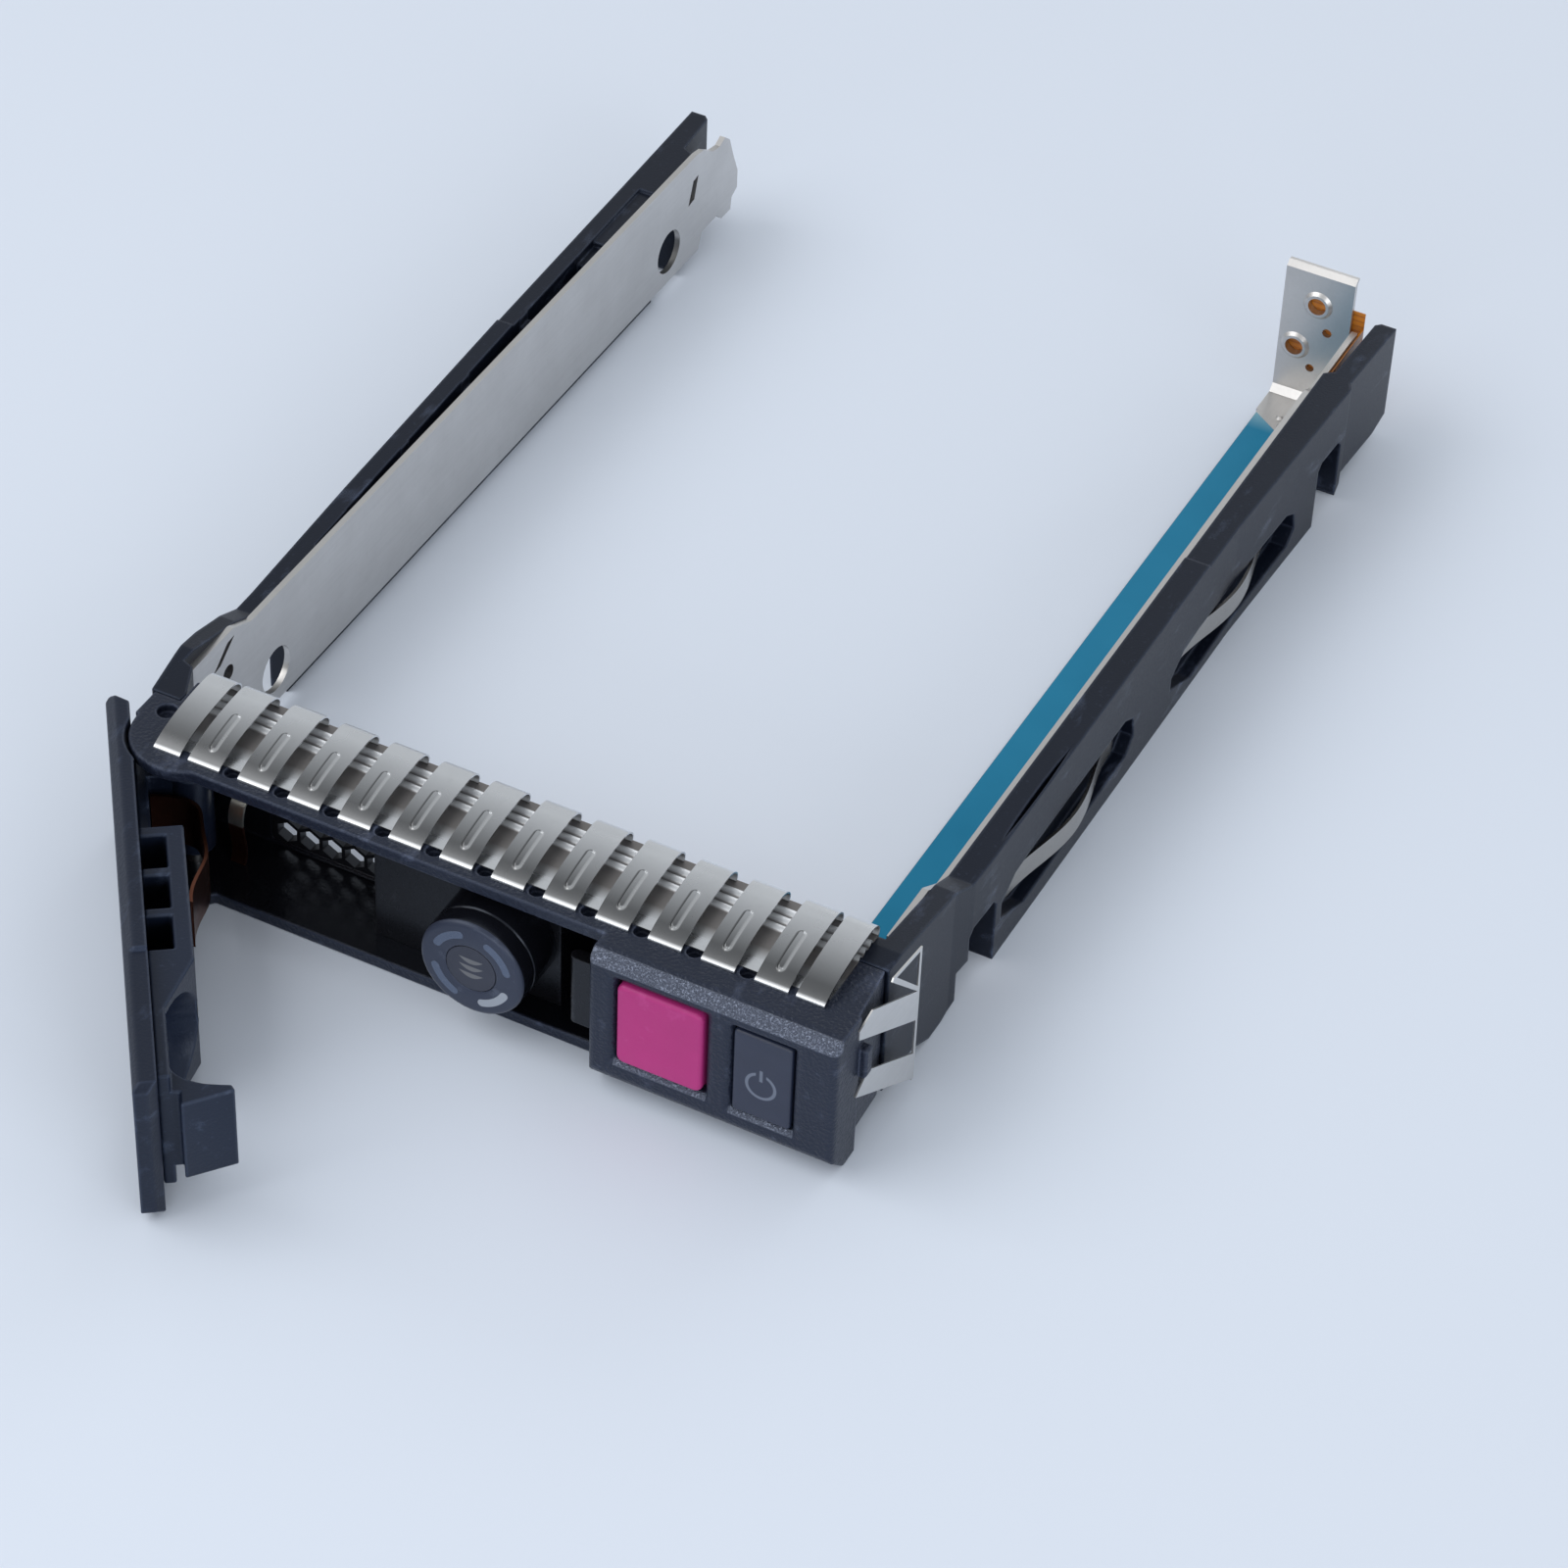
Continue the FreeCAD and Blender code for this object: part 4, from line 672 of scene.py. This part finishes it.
def stripGrid():
    # the strip is level along the bezel; from front to back it is flat and then rises in ridges,
    # each a bell curve in the distance from its own line
    q = strip
    y = np.concatenate([np.linspace(q["front"], q["flat"], 8), np.linspace(q["flat"] + 0.1, q["back"], 60)])
    lines = q["ridgeY"] + q["ridgeStep"] * np.arange(q["ridges"])
    z = q["level"] + q["ridgeHigh"] * np.exp(-((y[:, None] - lines) / q["ridgeWide"]) ** 2).sum(1)
    x = np.linspace(q["left"], q["right"], q["cols"])
    return np.stack(np.broadcast_arrays(x[None, :], y[:, None], z[:, None]), -1)[::-1] * mm


def backSkirt():
    # the strip's rear edge folded straight down: a flat upright grid
    q = strip
    x = np.linspace(q["skirtLeft"], q["skirtRight"], q["cols"])
    z = np.linspace(q["skirtLow"], q["skirtHigh"], 6)
    return np.stack(np.broadcast_arrays(x[None, :], q["skirtY"], z[:, None]), -1) * mm


def makeFingerStrip():
    # two narrow end fingers and a row of beaded ones at an even pitch, over the strip and its skirt
    q = fingers
    grids = [fingerGrid(q[end], q["endWidth"], False) for end in ("leftEnd", "rightEnd")]
    grids += [fingerGrid(q["first"] + k * q["pitch"], q["width"], True) for k in range(q["count"])]
    points, faces = thickSheets(grids + [stripGrid(), backSkirt()], q["thick"] * mm)
    addPiece("finger_strip", points, faces, "fingered", "carrier", ["top_finger_strip"])


makeFingerStrip()
print("finger strip made")

# status ring: a turned disc with a groove for its light windows; its profile is radius against depth
disc = {"centre": (2.6, 8.1), "segments": 96,
        "profile": [(2.52, 0.82), (2.52, 0.6), (2.62, 0.55), (2.7, 0.53), (3.6, 0.53), (4.6, 0.53),
                    (4.78, 0.55), (4.98, 0.66), (5.1, 0.85), (5.15, 1.1), (5.15, 2.5), (5.08, 2.56),
                    (5.03, 2.66), (5.08, 2.76), (5.15, 2.82), (5.15, 6.5)]}


def makeDisc():
    # each point of the profile is carried round the disc's axis in a circle
    r, y = np.array(disc["profile"]).T[..., None]
    turn = np.linspace(0, 2 * np.pi, disc["segments"], endpoint=False)
    x, z = disc["centre"][0] + r * np.cos(turn), disc["centre"][1] + r * np.sin(turn)
    points, faces = loftRings(np.stack([x, np.broadcast_to(y, x.shape), z], -1) * mm)
    faces = [f[::-1] for f in faces]
    addPiece("status_ring", points, faces, "ring", "carrier", ["ring_body"])


arcs = {"inner": 3.3, "outer": 4.12, "front": 0.5, "back": 1.6, "edge": 0.07, "mid": 40, "half": 29,
        "count": 4, "steps": 41}


def makeArcs():
    # four bars bent round the disc's axis; across each bar is a low profile with rounded front edges, and
    # towards its ends the half width shrinks as a half circle
    q = arcs
    mid, half = (q["inner"] + q["outer"]) / 2, (q["outer"] - q["inner"]) / 2
    reach = math.radians(q["half"])
    t = np.sin(np.linspace(-np.pi / 2, np.pi / 2, q["steps"]))
    along = np.abs(t) * reach * mid
    cap = np.clip((along - (reach * mid - half)) / half, 0, 0.995)
    wide = half * np.sqrt(1 - cap ** 2)
    across = np.array([-1, -1, -0.93, 0.93, 1, 1])
    shoulder = q["front"] + q["edge"]
    depth = np.array([q["back"], shoulder, q["front"], q["front"], shoulder, q["back"]])
    r = mid + wide[:, None] * across
    points, faces = [], []
    for k in range(q["count"]):
        angle = (math.radians(q["mid"] + 360 / q["count"] * k) + t * reach)[:, None]
        x, z = disc["centre"][0] + r * np.cos(angle), disc["centre"][1] + r * np.sin(angle)
        barPoints, barFaces = loftRings(np.stack([x, np.broadcast_to(depth, r.shape), z], -1) * mm)
        faces += [[i + len(barPoints) * k for i in f] for f in barFaces]
        points.append(barPoints)
    points = np.concatenate(points)
    addPiece("light_arcs", points, faces, "arc", "carrier", ["ring_light_windows"])


makeDisc()
makeArcs()

# latch spring: a coil with one end on the catch and one on the carrier
coil = {"turns": 5, "radius": 1.3, "wire": 0.35, "start": 24.3, "end": 30.4, "gap": 0.02,
        "steps": 24, "around": 12}


def makeCoil():
    # the middle line is a screw line about x; a small circle is carried along it, square to the line
    q = coil
    low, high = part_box("latch_spring")
    centre = (low + high) / 2
    half = q["wire"] / 2
    mean = q["radius"] - half
    turn = np.linspace(0, 2 * np.pi * q["turns"], q["turns"] * q["steps"] + 1)[:, None]
    first, last = q["start"] + half + q["gap"], q["end"] - half - q["gap"]
    lean = (last - first) / (2 * np.pi * q["turns"] * mean)
    around = np.linspace(0, 2 * np.pi, q["around"], endpoint=False)[None, :]
    out, across = half * np.cos(around), half * np.sin(around) / math.hypot(1, lean)
    x = first + (last - first) * turn / turn[-1] + across
    y = centre.y / mm + (mean + out) * np.cos(turn) + across * lean * np.sin(turn)
    z = centre.z / mm + (mean + out) * np.sin(turn) - across * lean * np.cos(turn)
    points, faces = loftRings(np.stack([x, y, z], -1) * mm)
    span = ("latch_catch", "carrier", *[(v * mm, centre.y, centre.z) for v in (first, last)])
    addPiece("latch_coil", points, faces, "spring", span, ["latch_spring"])


makeCoil()

# button and status window: rounded caps with a flange behind the bezel's wall; wedge is the plan of the
# button's foot, which drives the catch, and rise its two heights
caps = {"button": {"centre": (21.4, 9.2), "half": (4.15, 4.55), "corner": 0.75, "front": -0.1, "edge": 0.42,
                   "flange": 0.6, "back": (1.65, 2.6), "flat": 1.6,
                   "wedge": [(19.4, 2.55), (22.95, 2.55), (19.75, 5.8), (19.4, 5.8)], "rise": (7.4, 10.2)},
        "status": {"centre": (31.2, 9.0), "half": (2.8, 4.75), "corner": 0.4, "front": 0.12, "edge": 0.3,
                   "flange": 0.7, "back": (1.62, 2.4), "flat": 1.6}}


def capRings(q):
    # rings run from the front face, out over a quarter-round rim, back along the sides and out to the flange
    halfWide, halfHigh = q["half"]
    inner = q["edge"] + q["flat"]
    rings = [roundedRing(halfWide - inner, halfHigh - inner, 0.1, q["front"], q["centre"])]
    for angle in np.linspace(0, np.pi / 2, 7):
        inset = q["edge"] * (1 - math.sin(angle))
        rings.append(roundedRing(halfWide - inset, halfHigh - inset, max(q["corner"] - inset, 0.1),
                                 q["front"] + q["edge"] * (1 - math.cos(angle)), q["centre"]))
    near, far = q["back"]
    rings.append(roundedRing(halfWide, halfHigh, q["corner"], near, q["centre"]))
    for y in (near, far):
        rings.append(roundedRing(halfWide + q["flange"], halfHigh + q["flange"], 0.1, y, q["centre"]))
    return rings


def prism(outline, low, high):
    # a plan outline carried straight up between two heights
    outline = np.array(outline)
    rings = [np.column_stack([outline, np.full(len(outline), z)]) * mm for z in (low, high)]
    return loftRings(rings)


def makeCaps():
    # the button is a cap and its wedge; the window is a cap alone
    q = caps["button"]
    points, faces = loftRings(capRings(q))
    wedge, wedgeFaces = prism(q["wedge"], *q["rise"])
    faces = [f[::-1] for f in faces] + [[i + len(points) for i in f] for f in wedgeFaces]
    points = np.concatenate([points, wedge])
    addPiece("button_cap", points, faces, "magenta", "release_button", ["release_button"])
    points, faces = loftRings(capRings(caps["status"]))
    faces = [f[::-1] for f in faces]
    addPiece("status_cap", points, faces, "lens", "carrier", ["status_window"])


makeCaps()
print("ring, latch spring, button and status window made")

# floor and light
stage = {"floorColour": (0.70, 0.76, 0.86), "floorRough": 0.6, "floorSize": 3.0,
         "worldColour": (0.94, 0.97, 1.0), "worldStrength": 0.62}


def makeFloor():
    # a square of four corners, level with the part's underside
    half = stage["floorSize"] / 2
    mesh = bpy.data.meshes.new("floor")
    corners = [(-half, -half, 0), (half, -half, 0), (half, half, 0), (-half, half, 0)]
    mesh.from_pydata(corners, [], [(0, 1, 2, 3)])
    floor = bpy.data.objects.new("floor", mesh)
    bpy.context.scene.collection.objects.link(floor)
    f = Finish("floor")
    mesh.materials.append(f.done(stage["floorColour"], stage["floorRough"]))


# soft lamps: place, target, width and height, watts, colour
lamps = {"key lamp": ((-0.5, -0.3, 0.65), (0, 0.03, 0), (0.8, 0.6), 3.2, (1, 0.99, 0.98)),
         "back lamp": ((0.1, 0.8, 0.35), (0, 0.05, 0), (0.5, 0.2), 0.7, (0.96, 0.98, 1)),
         "right lamp": ((0.6, -0.35, 0.3), (0, 0.03, 0), (0.4, 0.3), 1.0, (0.95, 0.97, 1)),
         "front lamp": ((0.1, -0.7, 0.22), (0, 0.03, 0), (0.6, 0.25), 1.2, (0.94, 0.97, 1))}


def makeLamp(name, place, target, size, power, colour):
    # a rectangle of light at its place, turned to face the target
    lamp = bpy.data.lights.new(name, "AREA")
    lamp.shape = "RECTANGLE"
    lamp.size, lamp.size_y = size
    lamp.energy = power
    lamp.color = colour
    holder = bpy.data.objects.new(name, lamp)
    holder.location = place
    holder.rotation_euler = (Vector(target) - Vector(place)).to_track_quat("-Z", "Y").to_euler()
    bpy.context.scene.collection.objects.link(holder)


makeFloor()
for name, settings in lamps.items():
    makeLamp(name, *settings)
world = bpy.data.worlds.new("studio")
world.use_nodes = True
sky = world.node_tree.nodes["Background"]
sky.inputs["Color"].default_value = (*stage["worldColour"], 1)
sky.inputs["Strength"].default_value = stage["worldStrength"]
bpy.context.scene.world = world

# camera: where it stands, which way it looks, its roll and its lens
viewing = {"azimuth": 25.8, "elevation": 41.75, "roll": 2.59, "lens": 114.8,
           "place": (0.16166, -0.26797, 0.30872)}


def makeCamera():
    # back points away from what is seen, by the azimuth about z and the elevation above level; right and up
    # are square to it, and the roll turns them both about it
    turn, rise, roll = [math.radians(viewing[key]) for key in ("azimuth", "elevation", "roll")]
    back = Vector((math.sin(turn) * math.cos(rise), -math.cos(turn) * math.cos(rise), math.sin(rise)))
    right = Vector((math.cos(turn), math.sin(turn), 0))
    up = back.cross(right)
    c, s = math.cos(roll), math.sin(roll)
    rolledRight, rolledUp = c * right + s * up, c * up - s * right
    cam = bpy.data.cameras.new("camera")
    cam.lens = viewing["lens"]
    cam.sensor_width = 36
    holder = bpy.data.objects.new("camera", cam)
    turned = Matrix((rolledRight, rolledUp, back)).transposed()
    holder.matrix_world = Matrix.Translation(viewing["place"]) @ turned.to_4x4()
    bpy.context.scene.collection.objects.link(holder)
    bpy.context.scene.camera = holder
    cam.clip_start, cam.clip_end = 0.01, 10


makeCamera()
bpy.context.scene.view_settings.view_transform = "Standard"
print("stage, lamps and camera in place")
